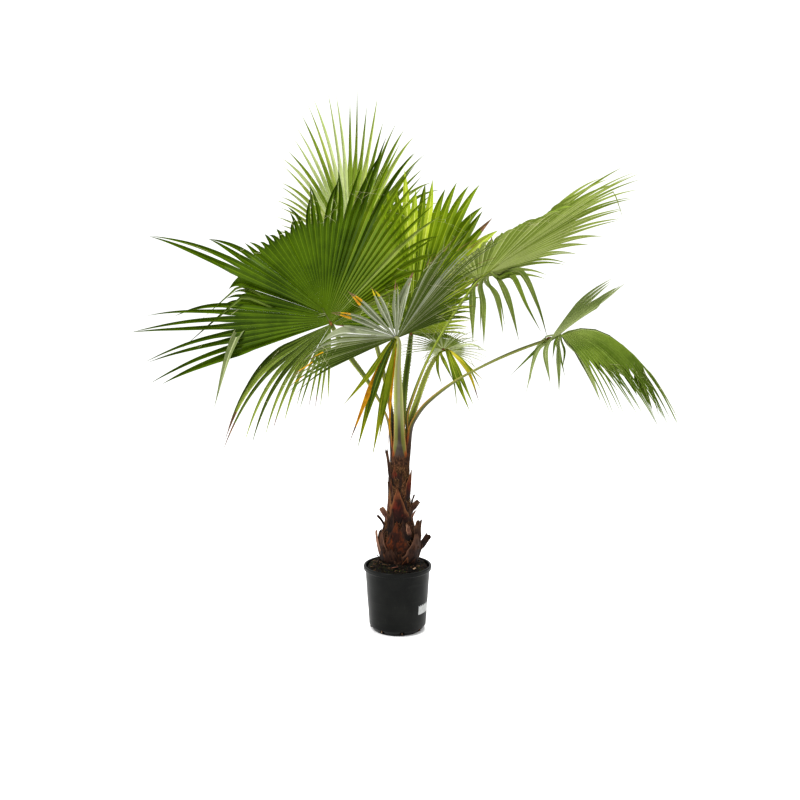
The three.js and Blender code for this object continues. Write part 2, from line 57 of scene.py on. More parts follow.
Array = np.ndarray
Draws = np.random.Generator
Piece = bpy.types.Object
Node = bpy.types.Node
Socket = bpy.types.NodeSocket
Rails = tuple[Array, Array, Array]
Colour = tuple[float, float, float]
Point = tuple[float, float, float]
Steps = tuple[int, int, int]
Span = tuple[float, float]
Number = Union[float, "Value"]
EVEN: Point = (1.0, 1.0, 1.0)


def tint(red: int, green: int, blue: int) -> Colour:
    """Linear colour of a display colour given in the usual 0 to 255 steps.

    Args:
        red: Red step.
        green: Green step.
        blue: Blue step.

    Returns:
        The linear red, green and blue.
    """

    def linear(step: int) -> float:
        """Linear value of a step."""
        share = step / 255.0
        return share / 12.92 if share <= 0.04045 else ((share + 0.055) / 1.055) ** 2.4

    return linear(red), linear(green), linear(blue)


def many(make: Callable, *table: tuple) -> tuple:
    """Things of one kind, one from each row of a table."""
    return tuple(make(*row) for row in table)


def unit(vector: Array) -> Array:
    """Vectors made one long, along the last axis of an array."""
    return vector / np.maximum(np.linalg.norm(vector, axis=-1, keepdims=True), 1e-12)


def ease(value: Array) -> Array:
    """Smooth step of values that are held between nought and one."""
    held = np.clip(value, 0.0, 1.0)
    return held * held * (3.0 - 2.0 * held)


def run_of(points: Array) -> Array:
    """Distance of each point from the first, along the line through them."""
    return np.concatenate([[0], np.cumsum(np.linalg.norm(np.diff(points, axis=0), axis=1))])


def between(wanted: Array, known: Array, points: Array) -> Array:
    """Points of a line at the wanted distances, from points at known ones."""
    return np.stack([np.interp(wanted, known, points[:, axis]) for axis in range(3)], -1)


def square_to(way: Array, vectors: Array) -> Array:
    """What is square to the ways in some vectors, made one long."""
    return unit(vectors - way * np.sum(vectors * way, 1, keepdims=True))


def course_through(knots: Array, count: int) -> Array:
    """Smooth line through points, in evenly spaced rows.

    Args:
        knots: Points to pass.
        count: How many points to return.

    Returns:
        The line's points.
    """
    ahead = np.vstack([2 * knots[0] - knots[1], knots, 2 * knots[-1] - knots[-2]])
    pieces = []
    for k in range(1, len(ahead) - 2):
        p0, p1, p2, p3 = ahead[k - 1 : k + 3]
        g0, g1, g2 = (max(np.linalg.norm(b - a) ** 0.5, 1e-6) for a, b in ((p0, p1), (p1, p2), (p2, p3)))
        slope1 = ((p1 - p0) / g0 - (p2 - p0) / (g0 + g1) + (p2 - p1) / g1) * g1
        slope2 = ((p2 - p1) / g1 - (p3 - p1) / (g1 + g2) + (p3 - p2) / g2) * g1
        t = np.linspace(0, 1, FINE_STEPS, endpoint=False)[:, None]
        cubic, square = 2 * p1 - 2 * p2 + slope1 + slope2, 3 * p2 - 3 * p1 - 2 * slope1 - slope2
        pieces.append(cubic * t**3 + square * t**2 + slope1 * t + p1)
    dense = np.concatenate([*pieces, knots[-1:]])
    run = run_of(dense)
    return between(np.linspace(0, run[-1], count), run, dense)


# ---- Shader expressions --------------------------------------------------


@dataclass(frozen=True)
class Value:
    """A number socket that can be used in plain Python sums."""

    sheet: "Sheet"
    socket: Socket

    def _math(self, operation: str, *numbers: Number) -> "Value":
        """Result of one Math node on a number or two."""
        node = self.sheet.node("ShaderNodeMath", {"operation": operation}, dict(enumerate(numbers)))
        return Value(self.sheet, node.outputs[0])

    def __add__(self, other: Number) -> "Value":
        """Sum."""
        return self._math("ADD", self, other)

    __radd__ = __add__

    def __sub__(self, other: Number) -> "Value":
        """Difference."""
        return self._math("SUBTRACT", self, other)

    def __rsub__(self, other: Number) -> "Value":
        """Difference from a number on the left."""
        return self._math("SUBTRACT", other, self)

    def __mul__(self, other: Number) -> "Value":
        """Product."""
        return self._math("MULTIPLY", self, other)

    __rmul__ = __mul__

    def sine(self) -> "Value":
        """Sine of the value in radians."""
        return self._math("SINE", self)

    def size(self) -> "Value":
        """Value without its sign."""
        return self._math("ABSOLUTE", self)

    def spread(self, low: float, high: float, to_low: float = 0.0, to_high: float = 1.0) -> "Value":
        """Smoothly maps a range of the value onto another and holds it there.

        Args:
            low: Start of the range.
            high: End of the range.
            to_low: Result at the start.
            to_high: Result at the end.

        Returns:
            The mapped value.
        """
        sockets = {"Value": self, "From Min": low, "From Max": high, "To Min": to_low, "To Max": to_high}
        node = self.sheet.node("ShaderNodeMapRange", {"interpolation_type": "SMOOTHSTEP"}, sockets)
        return Value(self.sheet, node.outputs["Result"])


class Sheet:
    """The node sheet of one material."""

    def __init__(self, material: bpy.types.Material) -> None:
        """Clears the material's nodes and starts with an output and a main shader.

        Args:
            material: Material to write.
        """
        material.use_nodes = True
        self.tree = material.node_tree
        self.tree.nodes.clear()
        output = self.node("ShaderNodeOutputMaterial")
        self.shader = self.node("ShaderNodeBsdfPrincipled")
        self.tree.links.new(self.shader.outputs[0], output.inputs["Surface"])

    def node(self, kind: str, settings: Optional[dict] = None, sockets: Optional[dict] = None) -> Node:
        """Adds any node: its settings come first, then its sockets' values or links.

        Args:
            kind: Node type.
            settings: Settings by name.
            sockets: Values, values of the sheet or sockets, by input name or number.

        Returns:
            The new node.
        """
        made = self.tree.nodes.new(kind)
        for name, setting in (settings or {}).items():
            setattr(made, name, setting)
        for name, given in (sockets or {}).items():
            self.feed(made.inputs[name], given)
        return made

    def feed(self, socket: Socket, given: object) -> None:
        """Gives a socket a plain value or a link.

        Args:
            socket: Input to fill.
            given: Number, colour, value of the sheet or output socket.
        """
        if isinstance(given, Value):
            self.tree.links.new(given.socket, socket)
        elif isinstance(given, Socket):
            self.tree.links.new(given, socket)
        elif socket.type == "RGBA":
            socket.default_value = (*given, 1.0)
        else:
            socket.default_value = given

    def mix(self, share: Number, first: object, second: object) -> Socket:
        """Colour between two colours or sockets, at a share of the second."""
        node = self.node("ShaderNodeMix", {"data_type": "RGBA"}, {0: share, 6: first, 7: second})
        return node.outputs[2]

    def place(self, stretch: Point = EVEN) -> Socket:
        """Object coordinates, scaled along each axis."""
        links = {"Vector": self.node("ShaderNodeTexCoord").outputs["Object"], "Scale": stretch}
        return self.node("ShaderNodeMapping", None, links).outputs["Vector"]

    def surface(self) -> tuple[Value, Value]:
        """The piece's own map.

        Returns:
            The share across and the share along.
        """
        grain = self.node("ShaderNodeUVMap", {"uv_map": "grain"})
        parts = self.node("ShaderNodeSeparateXYZ", None, {0: grain.outputs[0]})
        return Value(self, parts.outputs[0]), Value(self, parts.outputs[1])

    def noise(self, scale: float, detail: float = 3.0, stretch: Point = EVEN) -> Value:
        """Cloudy pattern on Object coordinates, by clouds per metre, levels and a scale along each axis."""
        sockets = {"Vector": self.place(stretch), "Scale": scale, "Detail": detail, "Roughness": 0.55}
        return Value(self, self.node("ShaderNodeTexNoise", None, sockets).outputs["Fac"])

    def relief(self, height: Value, strength: float, distance: float) -> None:
        """Feeds the shader's normal from a pattern that stands a distance in metres high."""
        sockets = {"Strength": strength, "Distance": distance, "Height": height}
        self.feed(self.shader.inputs["Normal"], self.node("ShaderNodeBump", None, sockets).outputs[0])

    def finish(self, colour: object, roughness: Number, shine: float) -> None:
        """Feeds the shader's colour and roughness and sets its shine.

        Args:
            colour: Colour or socket.
            roughness: Roughness.
            shine: Strength of the clear reflection.
        """
        self.feed(self.shader.inputs["Base Color"], colour)
        self.feed(self.shader.inputs["Roughness"], roughness)
        self.shader.inputs["Specular IOR Level"].default_value = shine


# ---- Finishes ------------------------------------------------------------


@dataclass(frozen=True)
class Finish:
    """A surface finish, made as a material once and then shared."""

    name: str

    def material(self) -> bpy.types.Material:
        """The finish's material, made at its first use.

        Returns:
            The material.
        """
        found = bpy.data.materials.get(self.name)
        if found:
            return found
        made = bpy.data.materials.new(self.name)
        self.paint(Sheet(made))
        return made

    def paint(self, sheet: Sheet) -> None:
        """Writes the finish's nodes."""
        raise NotImplementedError


def dyed(make: Callable, name: str, *parts: Union[Steps, float]) -> Finish:
    """A finish of a kind, from colours in steps of 0 to 255 and plain numbers."""
    return make(name, *(tint(*part) if isinstance(part, tuple) else part for part in parts))


@dataclass(frozen=True)
class MouldedPlastic(Finish):
    """Dark polyethylene, satin, with faint flow marks, dust and scuffs."""

    dark: Colour = tint(15, 16, 15)
    pale: Colour = tint(25, 26, 24)
    dust: Colour = tint(62, 64, 59)

    def paint(self, sheet: Sheet) -> None:
        """Writes the plastic.

        Args:
            sheet: Node sheet to write.
        """
        clouds = sheet.noise(14.0, 4.0)
        flow = sheet.noise(30.0, 2.0, (0.25, 0.25, 4.0))
        scuff = sheet.noise(160.0, 3.0, (1.0, 1.0, 0.3)).spread(0.62, 0.8)
        body = sheet.mix(clouds.spread(0.3, 0.75), self.dark, self.pale)
        dusty = sheet.mix(scuff * 0.3 + flow.spread(0.55, 0.85) * 0.12, body, self.dust)
        sheet.finish(dusty, clouds * 0.16 + scuff * 0.2 + 0.3, 0.12)
        sheet.relief(flow + clouds * 0.5, 0.25, 0.0012)


@dataclass(frozen=True)
class BlankPaper(Finish):
    """White label paper with nothing on it, a little dirty."""

    clean: Colour = tint(172, 173, 172)
    worn: Colour = tint(148, 150, 149)

    def paint(self, sheet: Sheet) -> None:
        """Writes the paper.

        Args:
            sheet: Node sheet to write.
        """
        clouds = sheet.noise(90.0, 4.0)
        paper = sheet.mix(clouds.spread(0.35, 0.75), self.clean, self.worn)
        sheet.finish(paper, clouds * 0.2 + 0.55, 0.3)
        sheet.relief(sheet.noise(900.0, 2.0), 0.2, 0.0003)


@dataclass(frozen=True)
class PottingSoil(Finish):
    """Moist dark soil with brown and green flecks."""

    wet: Colour = tint(7, 6, 5)
    dry: Colour = tint(24, 19, 14)
    moss: Colour = tint(40, 44, 18)

    def paint(self, sheet: Sheet) -> None:
        """Writes the soil.

        Args:
            sheet: Node sheet to write.
        """
        grains = sheet.noise(260.0, 4.0)
        patches = sheet.noise(26.0, 3.0)
        earth = sheet.mix(grains.spread(0.4, 0.68), self.wet, self.dry)
        mossy = sheet.mix(patches.spread(0.55, 0.72) * 0.55, earth, self.moss)
        sheet.finish(mossy, grains * 0.2 + 0.75, 0.2)
        sheet.relief(grains, 0.8, 0.004)


@dataclass(frozen=True)
class WovenFibre(Finish):
    """Brown fibre of the trunk, streaked lengthways and cross-woven."""

    deep: Colour = tint(22, 13, 9)
    mid: Colour = tint(64, 39, 26)
    pale: Colour = tint(112, 78, 54)

    def paint(self, sheet: Sheet) -> None:
        """Writes the fibre.

        Args:
            sheet: Node sheet to write.
        """
        streaks = sheet.noise(170.0, 4.0, (1.0, 1.0, 0.16))
        patches = sheet.noise(18.0, 3.0)
        weave = sheet.noise(420.0, 2.0, (1.0, 1.0, 0.5))
        body = sheet.mix(streaks.spread(0.34, 0.66), self.deep, self.mid)
        parts = sheet.node("ShaderNodeSeparateXYZ", None, {0: sheet.place()})
        higher = Value(sheet, parts.outputs[2]).spread(0.4, 0.66)
        share = weave.spread(0.56, 0.8) * 0.5 + patches.spread(0.55, 0.8) * 0.25
        flecked = sheet.mix(share + higher * weave.spread(0.4, 0.6) * 0.8, body, self.pale)
        sheet.finish(flecked, streaks * 0.25 + 0.62, 0.1)
        sheet.relief(streaks + weave * 0.4, 0.9, 0.004)


@dataclass(frozen=True)
class OldBase(Finish):
    """Dry leaf base: a coloured middle that pales and frays to its margins and darkens to its foot."""

    heart: Colour
    glow: Colour
    margin: Colour
    foot: Colour
    edge: float = 0.16
    dark_to: float = 0.3

    def paint(self, sheet: Sheet) -> None:
        """Writes the leaf base.

        Args:
            sheet: Node sheet to write.
        """
        across, along = sheet.surface()
        streaks = sheet.noise(150.0, 4.0, (1.0, 1.0, 0.2))
        clouds = sheet.noise(34.0, 3.0)
        rim = ((across - 0.5).size() * 2.0 + (streaks - 0.5) * 0.5).spread(1.0 - 2.2 * self.edge, 1.0)
        tip = (along + (clouds - 0.5) * 0.5).spread(0.5, 1.0)
        body = sheet.mix(clouds.spread(0.42, 0.62), self.heart, self.glow)
        warm = sheet.mix(streaks.spread(0.48, 0.7) * 0.7, body, self.foot)
        tipped = sheet.mix(tip * 0.5, warm, self.margin)
        edged = sheet.mix(rim * 0.8, tipped, self.margin)
        low = 1.0 - (along + (streaks - 0.5) * 0.4).spread(0.02, self.dark_to)
        sheet.finish(sheet.mix(low * 0.9, edged, self.foot), streaks * 0.25 + 0.5, 0.12)
        sheet.relief(streaks, 0.8, 0.003)


@dataclass(frozen=True)
class DryScrap(Finish):
    """Loose dry stuff in one colour family: chips, husks, threads and dead leaf tips."""

    light: Colour
    dark: Colour
    grain: float = 120.0

    def paint(self, sheet: Sheet) -> None:
        """Writes the scrap."""
        clouds = sheet.noise(self.grain)
        sheet.finish(sheet.mix(clouds.spread(0.32, 0.7), self.dark, self.light), clouds * 0.2 + 0.6, 0.15)


@dataclass(frozen=True)
class StalkSkin(Finish):
    """Smooth leaf stalk: a dull stripe down its middle between paler margins, brown at its foot.

    Bark, rust and olive reach up to their shares of its length.
    """

    stripe: Colour
    body: Colour
    margin: Colour
    bark_to: float
    rust_to: float
    olive_to: float
    half: float = 0.16
    low_stripe: Colour = tint(54, 42, 40)
    low_body: Colour = tint(72, 70, 18)
    low_rim: Colour = tint(150, 110, 52)
    rust: Colour = tint(124, 60, 16)
    bark: Colour = tint(38, 24, 16)
    fibre: Colour = tint(100, 68, 47)

    def paint(self, sheet: Sheet) -> None:
        """Writes the stalk.

        Args:
            sheet: Node sheet to write.
        """
        across, along = sheet.surface()
        off = (across - 0.5).size() * 2.0
        fibres = sheet.noise(240.0, 3.0, (1.0, 1.0, 0.05))
        clouds = sheet.noise(14.0, 3.0)
        upper = sheet.mix(off.spread(0.5, 0.95), self.body, self.margin)
        base = sheet.mix((1.0 - along.spread(self.rust_to, self.olive_to)) * 0.8, upper, self.low_body)
        narrowing = along.spread(self.bark_to * 0.6, self.rust_to * 1.5, 0.5, self.half)
        near = 1.0 - (off - narrowing).spread(0.0, 0.26)
        middle = sheet.mix(along.spread(self.olive_to * 0.5, self.olive_to), self.low_stripe, self.stripe)
        striped = sheet.mix(near * along.spread(self.rust_to, self.olive_to, 0.95, 0.7), base, middle)
        worn = sheet.mix(clouds.spread(0.4, 0.75) * 0.3, striped, self.stripe)
        lined = off.spread(0.84, 0.94) * (1.0 - along.spread(self.rust_to, self.olive_to + 0.15)) * 0.85
        rimmed = sheet.mix(lined, worn, self.low_rim)
        ragged = along + (fibres - 0.5) * 0.05
        rusty = (1.0 - ragged.spread(self.bark_to, self.rust_to)) * off.spread(0.5, 0.8)
        browned = sheet.mix(rusty, rimmed, self.rust)
        barky = 1.0 - ragged.spread(self.bark_to * 0.55, self.bark_to * 1.2)
        rough = sheet.noise(300.0, 4.0, (1.0, 1.0, 0.3))
        bark = sheet.mix(rough.spread(0.42, 0.66) * 0.7, self.bark, self.fibre)
        sheet.finish(sheet.mix(barky, browned, bark), fibres * 0.2 + barky * 0.4 + 0.38, 0.14)
        sheet.relief(fibres + barky * rough * 3.0, 0.5, 0.001)


@dataclass(frozen=True)
class LeafSkin(Finish):
    """One side of a pleated leaf: mottled green, fine veins, a rib down each leaflet and painted shade on
    one half.
    """

    deep: Colour
    bright: Colour
    rib: Colour
    rib_half: float = 0.09
    rib_share: float = 0.65
    # Strength of the painted shade on one half of each leaflet.
    shade: float = 0.3
    gloss: float = 0.42
    root: Optional[Colour] = None
    vein_turns: float = 44.0

    def paint(self, sheet: Sheet) -> None:
        """Writes the leaf.

        Args:
            sheet: Node sheet to write.
        """
        across, along = sheet.surface()
        patches = sheet.noise(7.0, 3.0)
        fine = sheet.noise(90.0, 3.0)
        green = sheet.mix(patches.spread(0.34, 0.66), self.deep, self.bright)
        if self.root:
            rooted = sheet.mix((1.0 - along.spread(0.15, 0.75)) * 0.9, green, self.root)
        else:
            rooted = sheet.mix((1.0 - along.spread(0.0, 0.3)) * 0.4, green, self.rib)
        # Painted shade: the half of each leaflet on one side of its keel is darkened towards the deep green.
        painted_half_shade = across.spread(0.44, 0.56) * self.shade
        shaded = sheet.mix(painted_half_shade, rooted, self.deep)
        veins = (across * self.vein_turns).sine() * 0.5 + 0.5
        veined = sheet.mix(veins * 0.12 + fine.spread(0.5, 0.8) * 0.12, shaded, self.rib)
        near = 1.0 - (across - 0.5).size().spread(self.rib_half * 0.4, self.rib_half)
        sheet.finish(sheet.mix(near * self.rib_share, veined, self.rib), fine * 0.16 + self.gloss, 0.12)
        sheet.relief(veins, 0.25, 0.0006)


@dataclass(frozen=True)
class StudioFloor(Finish):
    """Plain pale floor."""

    pale: Colour = (0.975, 0.975, 0.975)
    dull: Colour = (0.965, 0.965, 0.965)

    def paint(self, sheet: Sheet) -> None:
        """Writes the floor."""
        sheet.finish(sheet.mix(sheet.noise(3.0, 2.0), self.pale, self.dull), 0.9, 0.0)


SCRAP = partial(dyed, DryScrap)
OLD_BASE = partial(dyed, OldBase)


# ---- Mesh making ---------------------------------------------------------


def enlist(piece: Piece, slot: str, *nodes: str) -> None:
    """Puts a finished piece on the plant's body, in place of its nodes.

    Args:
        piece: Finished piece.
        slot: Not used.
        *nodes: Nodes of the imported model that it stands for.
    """
    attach(piece, "root")
    if nodes:
        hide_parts(*nodes)
    LOG.info("%s: %d faces, for %s", piece.name, len(piece.data.polygons), ", ".join(nodes) or "no node")


@dataclass
class Pile:
    """Many small things that become one joined mesh, with a map of across and along."""

    points: list[Array] = field(default_factory=list)
    maps: list[Array] = field(default_factory=list)
    faces: list[tuple[int, ...]] = field(default_factory=list)
    skins: list[int] = field(default_factory=list)
    count: int = 0

    def loft(
        self,
        rings: Array,
        skins: Union[int, Array] = 0,
        across: Optional[Array] = None,
        along: Optional[Array] = None,
    ) -> None:
        """Adds a closed solid through rings of points, ended by flat faces.

        Args:
            rings: Points of each ring, rows by columns by three.
            skins: Finish number, of all faces or by row and column.
            across: Share across of each column.
            along: Share along of each row.
        """
        count, columns = rings.shape[:2]
        across = np.linspace(0.0, 1.0, columns) if across is None else across
        along = np.linspace(0.0, 1.0, count) if along is None else along
        flat = rings.reshape(-1, 3)
        first = self.count
        self.points.append(flat)
        self.maps.append(np.stack(np.broadcast_arrays(across[None, :], along[:, None]), -1).reshape(-1, 2))
        self.count += len(flat)
        row, column = np.meshgrid(np.arange(count - 1), np.arange(columns), indexing="ij")
        beside = (column + 1) % columns
        turns = ((row, column), (row, beside), (row + 1, beside), (row + 1, column))
        quads = np.stack([high * columns + wide for high, wide in turns], -1).reshape(-1, 4)
        a, b, c, d = (flat[quads[:, k]] - flat.mean(0) for k in range(4))
        volume = np.einsum("ij,ij->", a, np.cross(b, c)) + np.einsum("ij,ij->", a, np.cross(c, d))
        ends = (range(columns - 1, -1, -1), range((count - 1) * columns, count * columns))
        caps = [tuple(first + k for k in end) for end in ends]
        faces = quads + first
        if volume < 0:
            faces = faces[:, ::-1]
            caps = [cap[::-1] for cap in caps]
        worn = np.broadcast_to(np.asarray(skins), (count - 1, columns)).reshape(-1)
        self.faces.extend(map(tuple, faces.tolist()))
        self.skins.extend(worn.tolist())
        self.faces.extend(caps)
        self.skins.extend([int(worn[0]), int(worn[-1])])

    def thread(self, course: Array, radius: float, skin: int = 0) -> None:
        """Adds a thin three-sided thread along a course, that tapers to a third.

        Args:
            course: Points along the middle, in metres.
            radius: Radius at the start.
            skin: Finish number.
        """
        way = unit(np.gradient(course, axis=0))
        side = unit(np.cross(way, ASKEW))
        other = np.cross(way, side)
        angle = np.arange(3) * 2.0 * math.pi / 3
        thick = np.linspace(radius, radius / 3.0, len(course))[:, None, None]
        ring = side[:, None] * np.cos(angle)[None, :, None] + other[:, None] * np.sin(angle)[None, :, None]
        self.loft(course[:, None] + ring * thick, skin)

    def build(self, name: str, finishes: list[Finish], crease: Optional[float] = 35.0) -> Piece:
        """Makes the object.

        Args:
            name: Name of the piece.
            finishes: Finishes, by the numbers that the faces hold.
            crease: Angle in degrees over which an edge stays sharp, or None for flat faces.

        Returns:
            The new object, at the origin.
        """
        mesh = bpy.data.meshes.new(name)
        mesh.from_pydata(np.concatenate(self.points).tolist(), [], self.faces)
        used = sorted(set(self.skins))
        for number in used:
            mesh.materials.append(finishes[number].material())
        places = {number: place for place, number in enumerate(used)}
        mesh.polygons.foreach_set("material_index", np.array([places[n] for n in self.skins], np.int32))
        corners = np.zeros(len(mesh.loops), np.int32)
        mesh.loops.foreach_get("vertex_index", corners)
        grain = np.concatenate(self.maps)[corners].astype(np.float32).ravel()
        mesh.uv_layers.new(name="grain").data.foreach_set("uv", grain)
        mesh.validate()
        piece = bpy.data.objects.new(name, mesh)
        bpy.context.scene.collection.objects.link(piece)
        if crease is not None:
            Bench.smooth(piece, crease)
        return piece


class Bench:
    """Hand modelling steps on one object at a time."""

    @staticmethod
    def clear() -> None:
        """Deselects everything."""
        for other in bpy.context.selected_objects:
            other.select_set(False)

    @staticmethod
    def only(piece: Piece) -> None:
        """Selects one object and nothing else.

        Args:
            piece: Object to select.
        """
        Bench.clear()
        bpy.context.view_layer.objects.active = piece
        piece.select_set(True)

    @staticmethod
    def smooth(piece: Piece, crease: float) -> None:
        """Shades an object smoothly.

        Args:
            piece: Object to shade.
            crease: Angle in degrees over which an edge stays sharp.
        """
        Bench.only(piece)
        bpy.ops.object.shade_smooth_by_angle(angle=math.radians(crease))
        piece.select_set(False)

    @staticmethod
    def apply(piece: Piece, modifier: bpy.types.Modifier) -> None:
        """Applies a modifier to its object."""
        Bench.only(piece)
        bpy.ops.object.modifier_apply(modifier=modifier.name)

    @staticmethod
    def turned(name: str, profile: list[Point], sides: int) -> Piece:
        """Builds a round closed shape, ring by ring.

        Args:
            name: Name of the piece.
            profile: Radius, height and sideways place of each ring, in metres, from a closed
                bottom to a closed end.
            sides: Faces round it.

        Returns:
            The new object, at the origin.
        """
        Bench.clear()
        radius, height, shift = profile[0]
        spot = (shift, 0.0, height)
        bpy.ops.mesh.primitive_circle_add(vertices=sides, radius=radius, fill_type="NGON", location=spot)
        piece = bpy.context.object
        piece.name = piece.data.name = name
        bpy.ops.object.transform_apply(location=True, rotation=False, scale=False)
        bpy.ops.object.mode_set(mode="EDIT")
        bpy.ops.mesh.select_all(action="SELECT")
        for new_radius, new_height, new_shift in profile[1:]:
            move = {"value": (new_shift - shift, 0.0, new_height - height)}
            bpy.ops.mesh.extrude_region_move(TRANSFORM_OT_translate=move)
            factor, spot = new_radius / radius, (new_shift, 0.0, new_height)
            bpy.ops.transform.resize(value=(factor, factor, 1.0), center_override=spot)
            radius, height, shift = new_radius, new_height, new_shift
        bpy.ops.mesh.select_all(action="SELECT")
        bpy.ops.mesh.normals_make_consistent(inside=False)
        bpy.ops.object.mode_set(mode="OBJECT")
        return piece

    @staticmethod
    def roughen(piece: Piece, size: float, height: float, stretch: Point = EVEN, group: str = "") -> None:
        """Raises and lowers a surface by a cloudy pattern, and applies it.

        Args:
            piece: Object to work on.
            size: Size of the pattern in metres.
            height: Height from lowest to highest in metres.
            stretch: How much longer the pattern is along each axis.
            group: Vertex group that limits it.
        """
        texture = bpy.data.textures.new("relief", "CLOUDS")
        texture.noise_scale = size
        holder = bpy.data.objects.new("relief_place", None)
        holder.scale = stretch
        bpy.context.scene.collection.objects.link(holder)
        bpy.context.view_layer.update()
        displace = piece.modifiers.new("relief", "DISPLACE")
        displace.texture = texture
        displace.texture_coords = "OBJECT"
        displace.texture_coords_object = holder
        displace.strength = height
        displace.mid_level = 0.5
        displace.vertex_group = group
        Bench.apply(piece, displace)
        bpy.data.objects.remove(holder)


# ---- Pot, label and soil -------------------------------------------------


@dataclass
class Pot:
    """Round nursery pot with a rolled lip, a slanted foot and slots cut through the foot."""

    height: float = 270.0
    rim_radius: float = 139.0
    rim_depth: float = 20.0
    lip: float = 5.2
    bulge: float = 0.6
    ripple: float = 0.25
    top_radius: float = 131.0
    foot_radius: float = 116.0
    foot_height: float = 22.0
    base_radius: float = 99.0
    wall: float = 2.4
    floor: float = 3.0
    sides: int = 128
    slots: int = 8
    slot_turn: float = 10.0
    slot_wide: float = 20.0
    slot_low: float = 4.0
    slot_high: float = 20.0
    slot_reach: float = 36.0
    slot_corner: float = 4.0
    edge: float = 0.6
    finish: Finish = MouldedPlastic("pot_plastic")
    paper: Finish = BlankPaper("label_paper")

    def profile(self) -> list[Point]:
        """Rings from the middle of the underside, up the outside and down the inside to the floor.

        Returns:
            Radius, height and sideways place of each ring, in metres.
        """
        rim, top, foot, base = self.rim_radius, self.top_radius, self.foot_radius, self.base_radius
        lip = self.lip
        rim_foot = self.height - self.rim_depth
        rings = [(3.0, 1.2), (base - 16, 1.2), (base - 12, 0.0), (base - 1.5, 0.0), (base, 1.0)]
        rings += [(foot - 0.8, self.foot_height - 1.2), (foot, self.foot_height)]
        steps = 14
        for k in range(1, steps + 1):
            share = k / steps
            swell = self.bulge * math.sin(share * math.pi) + self.ripple * math.sin(share * 5 * math.pi)
            radius = foot + (top - foot) * share + swell
            rings.append((radius, self.foot_height + (rim_foot - 3.0 - self.foot_height) * share))
        rings += [(top + 0.6, rim_foot - 1.0), (top + 3.0, rim_foot + 1.2), (rim - 1.6, rim_foot + 2.6)]
        rings += [(rim - 0.4, rim_foot + 5.0), (rim - 0.6, rim_foot + 7.5)]
        rings += [(rim - 0.4, self.height - lip - 2)]
        turns = 8
        for k in range(turns + 1):
            angle = math.pi * k / turns
            rings.append((rim - lip + lip * math.cos(angle), self.height - lip + lip * math.sin(angle)))
        rings += [(rim - 10.4, self.height - 9), (top - self.wall, rim_foot - 4)]
        rings += [(foot - self.wall, self.foot_height), (base - self.wall, self.floor), (3.0, self.floor)]
        return [(radius * MM, height * MM, 0.0) for radius, height in rings]

    def build(self) -> None:
        """Turns the pot, cuts its slots and dresses it and its label."""
        pot = Bench.turned("pot_body", self.profile(), self.sides)
        for k in range(self.slots):
            self._cut_slot(pot, math.radians(self.slot_turn + 360.0 / self.slots * k))
        soften = pot.modifiers.new("soften", "BEVEL")
        soften.width = self.edge * MM
        soften.segments = 2
        soften.limit_method = "ANGLE"
        soften.angle_limit = math.radians(38.0)
        Bench.apply(pot, soften)
        pot.data.materials.append(self.finish.material())
        Bench.smooth(pot, 40.0)
        enlist(pot, "pot", "pot")
        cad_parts["pot_label"].material_slots[0].material = self.paper.material()
        LOG.info("pot_label: kept, in blank paper")

    def _cut_slot(self, pot: Piece, angle: float) -> None:
        """Cuts one slot with rounded corners through the foot.

        Args:
            pot: Pot to cut.
            angle: Turn of the slot round the pot, in radians.
        """
        middle = (self.slot_low + self.slot_high) / 2 * MM
        spot = (self.foot_radius * MM * math.cos(angle), self.foot_radius * MM * math.sin(angle), middle)
        Bench.clear()
        bpy.ops.mesh.primitive_cube_add(size=1.0, location=spot, rotation=(0.0, 0.0, angle))
        cutter = bpy.context.object
        cutter.scale = (self.slot_reach * MM, self.slot_wide * MM, (self.slot_high - self.slot_low) * MM)
        bpy.ops.object.transform_apply(location=True, rotation=True, scale=True)
        rounded = cutter.modifiers.new("rounded", "BEVEL")
        rounded.width = self.slot_corner * MM
        rounded.segments = 3
        Bench.apply(cutter, rounded)
        carve = pot.modifiers.new("carve", "BOOLEAN")
        carve.operation = "DIFFERENCE"
        carve.solver = "EXACT"
        carve.object = cutter
        Bench.apply(pot, carve)
        bpy.data.objects.remove(cutter)


class Bit(Enum):
    """What lies on the soil, by the number of its finish."""

    BROWN = 0
    TAN = 1
    CRUMB = 2
    BLACK = 3
    PALE = 4
    HUSK = 5


